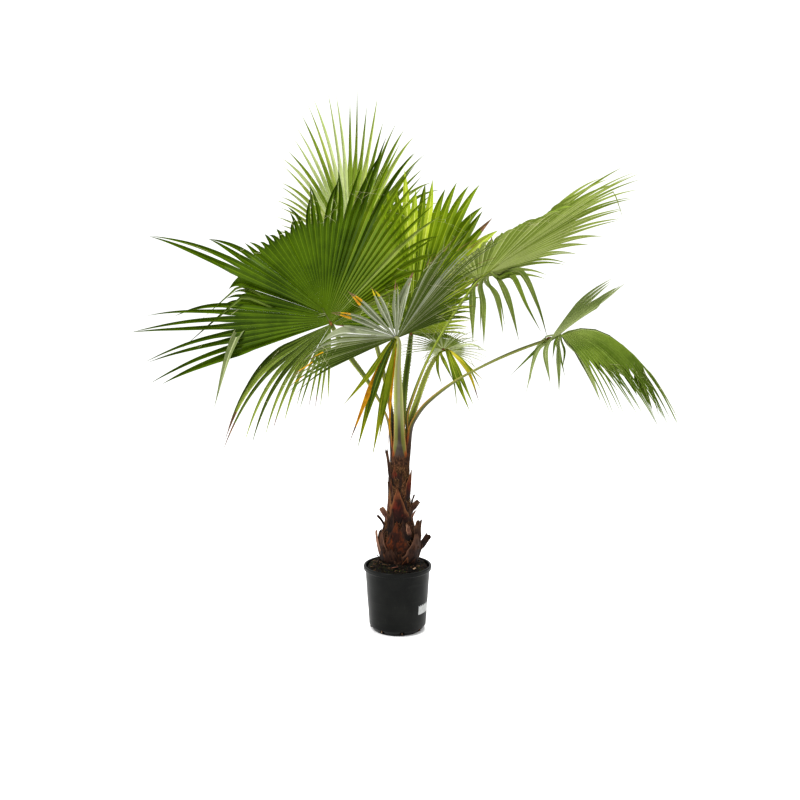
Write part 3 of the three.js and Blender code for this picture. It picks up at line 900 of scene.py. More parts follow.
@dataclass
class Soil:
    """Potting soil heaped up to the trunk, with chips, husks and green crumbs on its top."""

    top: float = 260.0
    rise: float = 60.0
    edge_radius: float = 124.5
    foot_radius: float = 109.0
    foot_height: float = 24.0
    floor: float = 3.4
    floor_radius: float = 92.0
    rings: int = 34
    chips: int = 620
    chips_out: float = 119.0
    chip_kinds: tuple[Bit, ...] = (Bit.BROWN, Bit.TAN, Bit.CRUMB, Bit.BLACK)
    chip_shares: tuple[float, ...] = (0.4, 0.12, 0.26, 0.22)
    chip_size: tuple[Span, Span] = ((5.0, 15.0), (2.5, 6.5))
    crumb_size: tuple[Span, Span] = ((3.0, 7.0), (2.5, 5.0))
    chip_thick: Span = (1.2, 3.0)
    placed: tuple[tuple[float, float, float, float, Bit], ...] = (
        (-0.86, 104.0, 30.0, 13.0, Bit.PALE), (-1.72, 92.0, 42.0, 14.0, Bit.HUSK),
        (-2.15, 84.0, 30.0, 11.0, Bit.TAN), (-0.6, 100.0, 15.0, 8.0, Bit.TAN),
    )
    slots: int = 8
    slot_turn: float = 10.0
    slot_kinds: tuple[Bit, ...] = (Bit.BROWN, Bit.TAN, Bit.PALE)
    finish: Finish = PottingSoil("potting_soil")
    scraps: tuple[Finish, ...] = many(
        SCRAP,
        ("chip_brown", (56, 40, 28), (26, 18, 13)), ("chip_tan", (104, 82, 60), (58, 42, 30)),
        ("crumb_green", (60, 66, 24), (30, 34, 12)), ("chip_black", (34, 29, 24), (16, 13, 11)),
        ("chip_pale", (176, 152, 126), (122, 96, 74)), ("husk_pink", (136, 94, 78), (86, 52, 42)),
    )

    def level(self, away: float) -> float:
        """Height of the soil's top at a distance from the middle, in millimetres."""
        return self.top + self.rise * (1.0 - away / (self.edge_radius - 4.0)) ** 0.8

    def build(self) -> None:
        """Makes the soil and what lies on it."""
        outline = [(3.0, self.floor), (self.floor_radius, self.floor), (self.foot_radius, self.foot_height)]
        outline += [(self.edge_radius, self.top - 5), (self.edge_radius - 2, self.top - 1.5)]
        for k in range(1, self.rings + 1):
            share = k / self.rings
            away = (self.edge_radius - 4) * (1 - share) + 2.0 * share
            outline.append((away, self.level(away)))
        soil = Bench.turned("potting_soil_fill", [(r * MM, z * MM, 0.0) for r, z in outline], 120)
        group = soil.vertex_groups.new(name="top")
        high = [v.index for v in soil.data.vertices if v.co.z > (self.top - 2) * MM]
        group.add(high, 1.0, "REPLACE")
        Bench.roughen(soil, 0.028, 0.008, group="top")
        Bench.roughen(soil, 0.007, 0.004, group="top")
        soil.data.materials.append(self.finish.material())
        Bench.smooth(soil, 60.0)
        enlist(soil, "soil", "soil")
        self._scatter()

    def _scatter(self) -> None:
        """Lays chips, husks and crumbs on the soil's top and bits of root in the pot's slots."""
        rng = np.random.default_rng(SEED)
        pile = Pile()
        for _ in range(self.chips):
            away = math.sqrt(rng.uniform(0.22, 1.0)) * self.chips_out
            turn = rng.uniform(0.0, 2.0 * math.pi)
            kind = rng.choice(self.chip_kinds, p=self.chip_shares)
            long, wide = (rng.uniform(*span) for span in self.chip_size)
            if kind is Bit.CRUMB:
                long, wide = (rng.uniform(*span) for span in self.crumb_size)
            spot = self._spot(turn, away, self.level(away) + rng.uniform(0.5, 3.5))
            self._chip(pile, rng, spot, (long, wide, rng.uniform(*self.chip_thick)), kind)
        for turn, away, long, wide, kind in self.placed:
            self._chip(pile, rng, self._spot(turn, away, self.level(away) + 4.0), (long, wide, 2.6), kind)
        for k in range(self.slots):
            turn = math.radians(self.slot_turn + 360.0 / self.slots * k) + rng.uniform(-0.05, 0.05)
            for _ in range(4):
                spot = self._spot(turn, rng.uniform(104, 109), rng.uniform(8, 16))
                self._chip(pile, rng, spot, (rng.uniform(6, 12), 3.5, 3.0), rng.choice(self.slot_kinds))
        enlist(pile.build("soil_chips", list(self.scraps), None), "soil")

    @staticmethod
    def _spot(turn: float, away: float, height: float) -> Array:
        """Place at a turn, a distance and a height, in millimetres."""
        return np.array([away * math.cos(turn), away * math.sin(turn), height])

    @staticmethod
    def _chip(pile: Pile, rng: Draws, spot: Array, size: Point, kind: Bit) -> None:
        """Adds one uneven flat chip, turned and tipped at random.

        Args:
            pile: Pile of the chips.
            rng: Source of its turn and of its uneven outline.
            spot: Its middle, in millimetres.
            size: Its length, width and thickness, in millimetres.
            kind: What it is.
        """
        long, wide, thick = size
        turn, tip, roll = rng.uniform(0, math.pi), rng.normal(0, 0.22), rng.normal(0, 0.25)
        ahead = np.array([math.cos(turn) * math.cos(tip), math.sin(turn) * math.cos(tip), math.sin(tip)])
        side = unit(np.cross(UPWARD, ahead)) * math.cos(roll) + UPWARD * math.sin(roll)
        up = np.cross(ahead, side)
        rings = []
        for share, width in ((-0.5, 0.45), (-0.2, 1.0), (0.15, 0.9), (0.5, 0.35)):
            half = wide / 2 * width * rng.uniform(0.75, 1.2)
            middle = spot + ahead * long * (share + rng.uniform(-0.05, 0.05))
            low, high = -up * thick * 0.4, up * thick * rng.uniform(0.3, 0.6)
            ring = [middle - side * half + low, middle + side * half + low]
            rings.append([*ring, middle + side * half * 0.8 + high, middle - side * half * 0.8 + high])
        pile.loft(np.array(rings) * MM, kind.value)


# ---- Trunk and old leaf bases --------------------------------------------


@dataclass
class Trunk:
    """Short trunk that swells to its foot, its bark fibrous and its upper part in woven sheaths.

    Its rings hold a height, a radius and how far the middle stands to the right.
    """

    rings: tuple[Point, ...] = (
        (252.3, 56, 10), (275, 66, 9), (300, 74, 8), (335, 79, 7), (368, 78, 6), (395, 72, 6), (430, 59, 7),
        (471, 49, 8), (531, 43, 7), (587, 40, 6), (661, 37, 8), (731, 35, 11), (781, 34, 13),
    )
    courses: int = 110
    sides: int = 96
    strands: int = 2600
    strand_long: Span = (22.0, 70.0)
    strand_climb: Span = (0.4, 1.1)
    strand_thick: Span = (0.35, 0.8)
    strand_shares: tuple[float, ...] = (0.6, 0.25, 0.15)
    hairs: int = 520
    hair_out: Span = (3.0, 12.0)
    hair_rise: Span = (-8.0, 26.0)
    hair_thick: Span = (0.3, 0.5)
    finish: Finish = WovenFibre("trunk_fibre")
    fibres: tuple[Finish, ...] = many(
        SCRAP,
        ("strand_brown", (108, 73, 49), (50, 31, 21)), ("strand_tan", (158, 118, 84), (100, 68, 46)),
        ("strand_olive", (112, 98, 56), (66, 54, 30)),
    )

    def radius(self, height: Union[float, Array]) -> Union[float, Array]:
        """Radius in millimetres at a height in millimetres."""
        return np.interp(height, [row[0] for row in self.rings], [row[1] for row in self.rings])

    def offset(self, height: Union[float, Array]) -> Union[float, Array]:
        """How far the middle stands to the right at a height, in millimetres."""
        return np.interp(height, [row[0] for row in self.rings], [row[2] for row in self.rings])

    def beside(self, turn: Array, away: Array, height: Array) -> Array:
        """Points round the trunk in millimetres, at turns in radians, distances and heights."""
        x = self.offset(height) + away * np.cos(turn)
        return np.stack(np.broadcast_arrays(x, away * np.sin(turn), height), -1)

    def build(self) -> None:
        """Makes the trunk and the fibre on it."""
        low, high = self.rings[0][0], self.rings[-1][0]
        profile = []
        for k in range(self.courses + 1):
            height = low + (high - low) * k / self.courses
            profile.append((float(self.radius(height)) * MM, height * MM, float(self.offset(height)) * MM))
        for share, climb in ((0.8, 0.006), (0.45, 0.01), (0.1, 0.012)):
            profile.append((share * self.rings[-1][1] * MM, high * MM + climb, self.rings[-1][2] * MM))
        trunk = Bench.turned("trunk_bark", profile, self.sides)
        group = trunk.vertex_groups.new(name="side")
        group.add([v.index for v in trunk.data.vertices if v.co.z > (low + 1) * MM], 1.0, "REPLACE")
        Bench.roughen(trunk, 0.03, 0.006, (1.0, 1.0, 2.2), "side")
        Bench.roughen(trunk, 0.006, 0.004, (1.0, 1.0, 4.0), "side")
        trunk.data.materials.append(self.finish.material())
        Bench.smooth(trunk, 50.0)
        enlist(trunk, "trunk", "trunk")
        self._weave()

    def _weave(self) -> None:
        """Lays the crossing strands of the sheaths and the loose hairs."""
        rng = np.random.default_rng(SEED + 1)
        pile = Pile()
        top = self.rings[-1][0]
        steps = np.linspace(0, 1, 6)
        for _ in range(self.strands):
            start = top - 6 - (top - 290) * rng.random() ** 1.2
            length = rng.uniform(*self.strand_long)
            climb = rng.choice([-1, 1]) * rng.uniform(*self.strand_climb)
            height = np.clip(start + steps * length * math.cos(climb), 262, top + 14)
            turn = rng.uniform(0, 2 * math.pi) + steps * length * math.sin(climb) / self.radius(start)
            away = self.radius(height) + 1.2 + 1.4 * rng.random() + 1.8 * np.sin(steps * math.pi)
            kind = int(rng.choice(len(self.fibres), p=self.strand_shares))
            pile.thread(self.beside(turn, away, height) * MM, rng.uniform(*self.strand_thick) * MM, kind)
        steps = np.linspace(0, 1, 5)
        for k in range(self.hairs):
            height = rng.uniform(300, top + 5)
            turn = rng.uniform(0, 2 * math.pi)
            turns = turn + rng.normal(0, 0.2) * steps
            heights = height + steps * rng.uniform(*self.hair_rise)
            away = self.radius(heights) + 0.5 + rng.uniform(*self.hair_out) * steps**1.5
            pile.thread(self.beside(turns, away, heights) * MM, rng.uniform(*self.hair_thick) * MM, k % 2)
        enlist(pile.build("trunk_strands", list(self.fibres), None), "trunk")


class Cut(Enum):
    """How an old leaf base ends: width of its tip, and how fast it narrows."""

    POINTED = (0.06, 1.1)
    BLUNT = (0.62, 1.5)
    STRAP = (0.42, 1.2)
    COLLAR = (0.3, 0.7)


class Hue(Enum):
    """Colour of an old leaf base, by the number of its finish."""

    ORANGE = 0
    RED = 1
    PINK = 2
    BROWN = 3
    DARK = 4
    TAN = 5
    COLLAR = 6


@dataclass
class LeafBase:
    """One old leaf base that hugs the trunk at its foot and stands off at its tip.

    Its turn, half breadth, slant and twist are in degrees, the rest is in millimetres.
    """

    node: str
    turn: float
    foot: float
    top: float
    half: float
    lean: float
    thick: float
    hue: Hue
    cut: Cut = Cut.POINTED
    slant: float = 0.0
    twist: float = 0.0
    courses: int = 22
    columns: int = 13
    tears: int = 9

    def add_to(self, pile: Pile, trunk: Trunk, rng: Draws) -> None:
        """Adds the base to a pile.

        Args:
            pile: Pile of its neighbours.
            trunk: Trunk that carries it.
            rng: Source of its raggedness.
        """
        tip_width, power = self.cut.value
        share = np.linspace(0, 1, self.courses)[:, None]
        side = np.linspace(-1, 1, self.columns)[None, :]
        spread = math.radians(self.half) * (1 - (1 - tip_width) * share**power)
        torn = np.linspace(0, 1, self.tears)
        left, right = (
            np.interp(share[:, 0], torn, rng.uniform(-1, 1, self.tears))[:, None] for _ in range(2)
        )
        ragged = 1 + 0.12 * np.where(side < 0, left, right)
        middle = math.radians(self.turn) + math.radians(self.slant) * share
        turn = middle + spread * side * ragged
        ends = rng.uniform(-1, 1, self.columns)[None, :] * min(9.0, (self.top - self.foot) * 0.08)
        height = self.foot + (self.top - self.foot) * share + ends * share**6
        if self.cut is not Cut.POINTED:
            height = height + side * rng.uniform(-6, 6) * share**3
        clear = 1.2 + 0.012 * self.half
        curl = 2.6 * np.abs(side) ** 3 * np.sin(share * math.pi * 0.85) + 1.6 * (1 - side**2) * share
        grooves = 0.5 * np.sin(side * 9.0 + 3.0 * rng.random()) * (1 - share)
        inner = trunk.radius(height) + clear + self.lean * share**2 + curl
        plate = np.maximum(self.thick * (1 - 0.5 * share) * (1 - 0.5 * np.abs(side) ** 3), 0.9)
        outer = inner + plate * np.minimum(1.0, 0.35 + share * 4.0) + grooves
        front, back = trunk.beside(turn, outer, height), trunk.beside(turn, inner, height)
        rings = np.concatenate([front, back[:, ::-1]], 1)
        if self.twist:
            rings = self._twisted(rings, share[:, 0])
        across = np.concatenate([np.linspace(0, 1, self.columns), np.linspace(1, 0, self.columns)])
        pile.loft(rings * MM, self.hue.value, across, share[:, 0])

    def _twisted(self, rings: Array, share: Array) -> Array:
        """Rings turned about their middle line, more and more towards the tip.

        Args:
            rings: Points of each ring.
            share: Share of the length that each ring stands at.

        Returns:
            The turned rings.
        """
        middle = rings.mean(1)
        way = unit(np.gradient(middle, axis=0))[:, None]
        angle = (math.radians(self.twist) * ease(share * 1.6))[:, None, None]
        arm = rings - middle[:, None]
        along = np.sum(arm * way, -1, keepdims=True) * way
        turned = arm * np.cos(angle) + np.cross(way, arm) * np.sin(angle) + along * (1 - np.cos(angle))
        return middle[:, None] + turned


@dataclass
class LeafBases:
    """The old leaf bases and cut stubs round the trunk, and the torn scales between them."""

    trunk: Trunk
    scales: int = 96
    scale_foot: Span = (262.0, 642.0)
    scale_long: Span = (40.0, 95.0)
    scale_half: Span = (7.0, 18.0)
    scale_thick: Span = (1.5, 3.5)
    scale_slant: Span = (-16.0, 16.0)
    scale_hues: tuple[Hue, ...] = (Hue.BROWN, Hue.DARK, Hue.DARK, Hue.DARK, Hue.RED)
    bases: tuple[LeafBase, ...] = many(
        LeafBase,
        ("boot_front_upper", -96, 456, 593, 58, 7, 5, Hue.RED),
        ("boot_front_lower", -100, 326, 459, 50, 9, 6, Hue.ORANGE),
        ("boot_left_lower", 188, 303, 410, 26, 24, 7, Hue.PINK, Cut.STRAP),
        ("boot_right_upper", -35, 547, 662, 26, 18, 4.5, Hue.RED, Cut.POINTED, 0, -25),
        ("boot_back_upper", 80, 481, 611, 42, 7, 5, Hue.RED),
        ("boot_back_lower", 85, 333, 461, 34, 9, 6, Hue.ORANGE),
        ("boot_back_left", 145, 367, 463, 17, 16, 5, Hue.PINK),
        ("boot_top_left", 132, 577, 701, 22, 9, 4, Hue.RED),
        ("boot_top_right", 55, 635, 743, 22, 8, 4, Hue.RED),
        ("stub_right_low", -26, 338, 462, 12, 34, 8, Hue.BROWN, Cut.BLUNT, 0, -62),
        ("stub_right_dark", 8, 301, 386, 11, 46, 6, Hue.DARK, Cut.BLUNT, 0, -70),
        ("stub_right_mid", -10, 481, 536, 15, 32, 6, Hue.BROWN, Cut.BLUNT, 0, -65),
        ("stub_front_cut", -53, 403, 451, 9, 12, 8, Hue.PINK, Cut.BLUNT, -9),
        ("stub_left_strap", 205, 601, 747, 11, 25, 3.5, Hue.BROWN, Cut.STRAP, 0, 50),
        ("stub_left_mid", 190, 451, 508, 14, 27, 5, Hue.PINK, Cut.BLUNT, 0, 60),
        ("stub_left_dark", 194, 421, 476, 6, 40, 4, Hue.DARK, Cut.STRAP, 0, 60),
        ("stub_back_right", 24, 479, 551, 9, 22, 5, Hue.BROWN, Cut.BLUNT),
    )
    loose: tuple[LeafBase, ...] = many(
        partial(LeafBase, ""),
        (-60, 264, 402, 60, 12, 5, Hue.COLLAR, Cut.COLLAR, 35),
        (-140, 264, 412, 60, 9, 5, Hue.COLLAR, Cut.COLLAR, -25),
        (60, 264, 420, 60, 9, 5, Hue.BROWN, Cut.COLLAR, -30),
        (130, 264, 400, 60, 9, 5, Hue.DARK, Cut.COLLAR, 28),
        (-34, 296, 398, 10, 7, 6, Hue.BROWN, Cut.BLUNT, -6), (-136, 566, 632, 17, 5, 3.5, Hue.RED),
        (-141, 500, 592, 13, 5, 3.5, Hue.TAN), (-60, 466, 560, 20, 6, 4, Hue.DARK),
        (-22, 456, 503, 6, 24, 3, Hue.PINK, Cut.STRAP, 0, -60),
        (-128, 410, 505, 24, 5, 4, Hue.DARK, Cut.POINTED, 8),
        (-66, 386, 470, 24, 7, 5, Hue.DARK, Cut.POINTED, -10),
        (-150, 318, 420, 20, 9, 5, Hue.DARK, Cut.POINTED, 12),
        (-72, 330, 436, 22, 5, 4, Hue.DARK, Cut.POINTED, -14),
        (-128, 262, 352, 22, 7, 5, Hue.DARK, Cut.POINTED, 6),
    )
    finishes: tuple[Finish, ...] = many(
        OLD_BASE,
        ("base_orange", (40, 16, 8), (92, 42, 9), (52, 31, 20), (14, 9, 6), 0.14, 0.45),
        ("base_red", (40, 15, 10), (76, 25, 13), (112, 74, 46), (20, 11, 8), 0.22),
        ("base_pink", (82, 54, 43), (118, 82, 66), (136, 104, 82), (34, 20, 15)),
        ("base_brown", (44, 28, 20), (64, 43, 31), (90, 66, 49), (17, 11, 8)),
        ("base_dark", (26, 16, 12), (42, 24, 17), (66, 43, 30), (14, 9, 7)),
        ("base_tan", (84, 54, 32), (114, 78, 44), (130, 96, 62), (30, 17, 12)),
        ("base_collar", (34, 20, 15), (52, 32, 24), (98, 70, 54), (13, 8, 6), 0.13, 0.5),
    )

    def build(self) -> None:
        """Makes one piece of the bases and one of the loose scales."""
        rng = np.random.default_rng(SEED + 2)
        pile = Pile()
        for base in self.bases:
            base.add_to(pile, self.trunk, rng)
        whole = pile.build("old_leaf_bases", list(self.finishes), 50.0)
        enlist(whole, "old_leaf_base", *[base.node for base in self.bases])
        scraps = Pile()
        for base in self.loose:
            base.add_to(scraps, self.trunk, rng)
        for _ in range(self.scales):
            self._scale(rng).add_to(scraps, self.trunk, rng)
        enlist(scraps.build("torn_scales", list(self.finishes), 50.0), "old_leaf_base")

    def _scale(self, rng: Draws) -> LeafBase:
        """Draws one torn scale; the ones on the swollen foot stand off more.

        Args:
            rng: Source of its place and size.

        Returns:
            The scale.
        """
        lowest, highest = self.scale_foot
        foot = lowest + (highest - lowest) * rng.random() ** 1.7
        size, lean = rng.uniform(*self.scale_long), 14.0 if foot < 400.0 else 6.0
        turn, top, half = rng.uniform(-180, 180), foot + size, rng.uniform(*self.scale_half)
        lean, thick = rng.uniform(1.0, lean), rng.uniform(*self.scale_thick)
        hue, slant = rng.choice(self.scale_hues), rng.uniform(*self.scale_slant)
        return LeafBase("", turn, foot, top, half, lean, thick, hue, slant=slant)


# ---- Fronds --------------------------------------------------------------


class Skin(Enum):
    """Dry finishes on a blade, counted from the end of its green ones."""

    YELLOW = 0
    ORANGE = 1
    BROWN = 2


# The upper and the lower side of a leaf in one shade of green.
Tone = tuple[Finish, Finish]


def tone(
    name: str,
    deep: Steps,
    bright: Steps,
    rib: Steps,
    under: Optional[Steps] = None,
    root: Optional[Steps] = None,
    fold: float = 0.35,
) -> Tone:
    """A tone from the greens of its upper side, each in steps of 0 to 255.

    Args:
        name: Start of the finishes' names.
        deep: Darkest green.
        bright: Brightest green.
        rib: Colour of ribs and veins.
        under: Middle colour of the lower side, when it isn't the upper one made dull.
        root: Colour near the hub on the upper side, when it isn't a paler green.
        fold: How much darker the painted shade on one half of a lower side is.

    Returns:
        The tone.
    """
    dark, light, vein = tint(*deep), tint(*bright), tint(*rib)
    dull = tint(*under) if under else tuple(0.45 * a + 0.45 * b + 0.03 for a, b in zip(dark, light))
    # Darker green of the lower side, used for its mottling and for the painted shade on one half.
    darker = tuple((1.0 - 0.8 * fold) * part for part in dull)
    return (
        LeafSkin(f"{name}_upper", dark, light, vein, root=tint(*root) if root else None),
        LeafSkin(f"{name}_under", darker, dull, vein, 0.12, 0.6, fold, 0.5),
    )


@dataclass(frozen=True)
class Station:
    """The blade at one turn from its rib: its length, lift and droop, its web and how slim it is."""

    turn: float
    reach: float
    lift: float
    droop: float
    web: float
    slim: float = 1.0


@dataclass(frozen=True)
class Lobe:
    """Neighbouring leaflets that share a web, and stay joined to their tips in groups."""

    low: float
    high: float
    leaflets: int
    tones: tuple[int, ...] = (0,)
    joined: int = 1


@dataclass(frozen=True)
class Loose:
    """A single leaflet that is free down to the hub and hangs along its own course."""

    points: tuple[Point, ...]
    width: float
    tone: int = 0
    dry: Optional[Skin] = None
    dry_from: float = 0.8


@dataclass(frozen=True)
class Dead:
    """A discoloured stretch at the end of the leaflets between two turns."""

    low: float
    high: float
    start: float
    skin: Skin
    chance: float = 1.0


@dataclass(frozen=True)
class Stray:
    """How one leaflet, or one group of joined ones, differs from its neighbours."""

    reach: float
    sag: float
    yaw: float
    dip: float
    drift: float
    kinked: bool


@dataclass
class Ray:
    """Course of one leaflet from the hub to its tip."""

    place: Array
    side: Array
    normal: Array
    web: float
    length: float

    def at(self, share: Array) -> Rails:
        """Places, sides and normals at shares of the length.

        Args:
            share: Shares from nought to one.

        Returns:
            Places in millimetres, sides and normals.
        """
        known = np.linspace(0, 1, len(self.place))
        place, side, normal = (between(share, known, rail) for rail in (self.place, self.side, self.normal))
        return place, unit(side), unit(normal)


THREAD = SCRAP("leaf_thread", (206, 202, 172), (172, 166, 126))
TOOTH = SCRAP("stalk_tooth", (128, 92, 48), (80, 54, 30))
DRY = many(
    SCRAP,
    ("leaf_yellow", (196, 174, 36), (150, 142, 22), 40.0),
    ("leaf_orange", (196, 154, 22), (164, 112, 16), 40.0),
    ("leaf_brown", (134, 104, 76), (84, 62, 48), 40.0),
)
TRUNK = Trunk()


@dataclass
class Frond:
    """A fan leaf: where it stands, how its blade spreads and hangs, and what it is coloured."""

    name: str
    costa: float
    hub: Point
    rib: Point
    face: Point
    stations: tuple[Station, ...]
    lobes: tuple[Lobe, ...]
    widths: tuple[float, ...]
    points: tuple[Point, ...]
    sectors: int
    tones: tuple[Tone, ...]
    stalk: tuple[Steps, Steps, Steps]
    foot_turn: float
    foot_height: float = 700.0
    foot_gap: float = 2.0
    flare: float = 44.0
    brown_to: Point = (0.1, 0.17, 0.42)
    limp: bool = False
    split: bool = False
    pleat: float = 34.0
    close: float = 50.0
    yaw: float = 1.3
    sway: float = 0.06
    kink: float = 0.02
    threads: float = 1.5
    blunt: float = 1.6
    loose: tuple[Loose, ...] = ()
    dead: tuple[Dead, ...] = ()
    ray_steps: int = 32
    weight: float = 0.05

    def axes(self) -> Rails:
        """The blade's own axes.

        Returns:
            The ways along its midline, off its upper side and across it.
        """
        along = unit(np.array(self.rib, float))
        out = np.array(self.face, float)
        out = unit(out - along * (out @ along))
        return along, out, np.cross(along, out)

    def station(self, turn: float) -> Station:
        """The blade at any turn, between its stations.

        Args:
            turn: Degrees from the rib.

        Returns:
            The station there.
        """
        turns = [row.turn for row in self.stations]
        parts = ("reach", "lift", "droop", "web", "slim")
        columns = ([getattr(row, part) for row in self.stations] for part in parts)
        return Station(turn, *(float(np.interp(turn, turns, column)) for column in columns))

    def ray(self, turn: float, reach: float = 1.0, sag: float = 0.0, yaw: float = 0.0) -> Ray:
        """Course of a leaflet.

        Args:
            turn: Degrees from the rib.
            reach: Factor on its length.
            sag: Added droop.
            yaw: Degrees by which it strays from its turn beyond the web.

        Returns:
            The ray, in millimetres.
        """
        along, out, across = self.axes()
        here = self.station(turn)
        length = here.reach * reach
        lift, angle = math.radians(here.lift), math.radians(turn)
        rooted = self.costa * max(0.0, math.cos(angle)) ** 2
        place = np.array(self.hub, float) + along * rooted
        step = (length - rooted) / self.ray_steps
        places, sides, normals = [], [], []
        for k in range(self.ray_steps + 1):
            share = (k + 0.5) / self.ray_steps
            free = max(0.0, (share - here.web) / (1.0 - here.web))
            bent = angle + math.radians(yaw) * min(1.0, 1.6 * free)
            flat = math.cos(bent) * along + math.sin(bent) * across
            start = math.cos(lift) * flat + math.sin(lift) * out
            hang = share**0.7 if self.limp else free**1.2
            way = unit(start - UPWARD * (self.weight * (1 - (1 - share) ** 2) + (here.droop + sag) * hang))
            normal = unit(out - way * (out @ way))
            places.append(place.copy())
            sides.append(np.cross(way, normal))
            normals.append(normal)
            place = place + way * step
        return Ray(np.array(places), np.array(sides), np.array(normals), here.web, length - rooted)

    def build(self) -> None:
        """Makes the blade with its threads, and then the stalk."""
        Blade(self, np.random.default_rng(SEED + sum(map(ord, self.name)))).build()
        Stalk(self).build()


@dataclass
class Blade:
    """The pleated blade of a frond, made leaflet by leaflet.

    A leaflet's rings have eight points: five over its upper side and three back along its lower
    one. Lengths are in millimetres, and shares are of a leaflet's length.
    """

    frond: Frond
    rng: Draws
    pile: Pile = field(default_factory=Pile)
    hairs: Pile = field(default_factory=Pile)
    web_rows: int = 7
    free_rows: int = 13
    loose_rows: int = 20
    start: float = 4.0
    pull: float = 1.42
    long_spread: float = 0.03
    dip_spread: float = 10.0
    drift_spread: float = 7.0
    twist_spread: float = 0.3
    closes_by: float = 4.5
    frees_by: float = 5.0
    widest: float = 0.4
    thinnest: float = 0.02
    belly: float = 0.07
    thick: Point = (1.1, 0.8, 0.35)
    keel: float = 1.6
    facing: Point = (0.25, -1.0, 0.3)
    brown_tip: float = 0.86
    brown_share: float = 0.6
    hair_long: Span = (30.0, 130.0)
    hair_thick: Span = (0.3, 0.5)
    across: tuple[float, ...] = (0.0, 0.25, 0.5, 0.75, 1.0, 0.75, 0.5, 0.25)

    def build(self) -> None:
        """Makes all leaflets and the threads between them, and dresses them."""
        name = self.frond.name
        for lobe in self.frond.lobes:
            self._fan(lobe)
        for leaflet in self.frond.loose:
            self._hang(leaflet)
        greens = [side for shade in self.frond.tones for side in shade]
        pleats = self.pile.build(f"{name}_fan", [*greens, *DRY], 40.0)
        enlist(pleats, "blade", *[f"{name}_blade_{k + 1}" for k in range(self.frond.sectors)])
        if self.hairs.count:
            enlist(self.hairs.build(f"{name}_fan_threads", [THREAD], None), "blade")

    def _fan(self, lobe: Lobe) -> None:
        """Adds the leaflets of one lobe.

        Args:
            lobe: Lobe to fill.
        """
        step = (lobe.high - lobe.low) / lobe.leaflets
        for j in range(lobe.leaflets):
            left = lobe.low + j * step
            if j % lobe.joined == 0:
                stray = self._stray()
                shade = int(self.rng.choice(lobe.tones))
            web = self.frond.station(left + step / 2).web
            pull = self.pull / (1.0 - web) * ((lobe.joined - 1) / 2 - j % lobe.joined) * step
            self._leaflet(left, left + step, shade, stray, pull)

    def _stray(self) -> Stray:
        """Draws how the next leaflet or group strays.

        Returns:
            What it differs by.
        """
        draw, frond = self.rng.normal, self.frond
        reach, sag, yaw = 1 + draw(0, self.long_spread), abs(draw(0, frond.sway)), draw(0, frond.yaw)
        dip, drift = abs(draw(0, self.dip_spread)), draw(0, self.drift_spread)
        return Stray(reach, sag, yaw, dip, drift, self.rng.random() < frond.kink)

    def _leaflet(self, left: float, right: float, shade: int, stray: Stray, pull: float) -> None:
        """Adds one leaflet, joined to its neighbours as far as the web goes.

        Args:
            left: Turn of its left edge in degrees.
            right: Turn of its right edge.
            shade: Number of its tone.
            stray: How it differs from its neighbours.
            pull: Degrees by which it closes up to the middle of its group.
        """
        frond, joined, last = self.frond, self.web_rows, self.web_rows - 1
        middle = (left + right) / 2
        course = frond.ray(middle, stray.reach, stray.sag, stray.yaw + pull)
        web, start = course.web, self.start / course.length
        web_share = np.linspace(0, 1, joined)
        free = np.linspace(0, 1, self.free_rows + 1)[1:]
        at = np.concatenate([start + (web - start) * web_share, web + (1 - web) * free])
        place, side, normal = course.at(at)
        edges = []
        for ray in (frond.ray(left), frond.ray(right)):
            start = self.start / ray.length
            spot, _side, up = ray.at(start + (ray.web - start) * web_share)
            edges.append((spot, up))
        half = np.linalg.norm(edges[1][0] - edges[0][0], axis=1) / 2
        if stray.kinked:
            place, side, normal = self._kinked(place, normal)
        place[joined:] -= UPWARD * stray.dip * free[:, None] ** 3
        place[joined:] += side[joined:] * stray.drift * free[:, None] ** 2
        pleat, blend = math.radians(frond.pleat), ease(free * self.frees_by)
        fold = pleat + (math.radians(frond.close) - pleat) * ease(free * self.closes_by)
        slim = 1 + (frond.station(middle).slim - 1) * blend
        widest = max(self.widest, web)
        grown = np.minimum(at[joined:], widest) / web
        taper = 1 - np.clip((at[joined:] - widest) / (1 - widest), 0, 1) ** frond.blunt
        wide = half[-1] / math.cos(pleat) * slim * grown * np.maximum(taper, self.thinnest)
        local = np.stack([side[last], normal[last], np.cross(normal[last], side[last])], 1)
        margins = []
        for sign, (spot, up) in zip((-1, 1), edges):
            web_edge = spot + up * (half * math.tan(pleat))[:, None]
            rest = (web_edge[-1] - place[last]) @ local
            beside = rest[0] * (1 - blend) + sign * wide * np.cos(fold) * blend
            above = rest[1] * (1 - blend) + wide * np.sin(fold) * blend
            ahead = np.cross(normal[joined:], side[joined:]) * (rest[2] * (1 - free) ** 2)[:, None]
            loose = place[joined:] + side[joined:] * beside[:, None] + normal[joined:] * above[:, None]
            margins.append(np.concatenate([web_edge, loose + ahead]))
        twist = self.rng.normal(0, self.twist_spread) * free**1.2 * wide
        for sign, margin in zip((-1, 1), margins):
            margin[joined:] += normal[joined:] * (sign * twist)[:, None]
        thick = np.interp(np.arange(len(at)), [0, joined, len(at) - 1], self.thick)
        rings = self._folded(place, margins, normal, thick, np.concatenate([half, wide]))
        self._dress(rings, middle, at, shade)
        self._fray(rings)

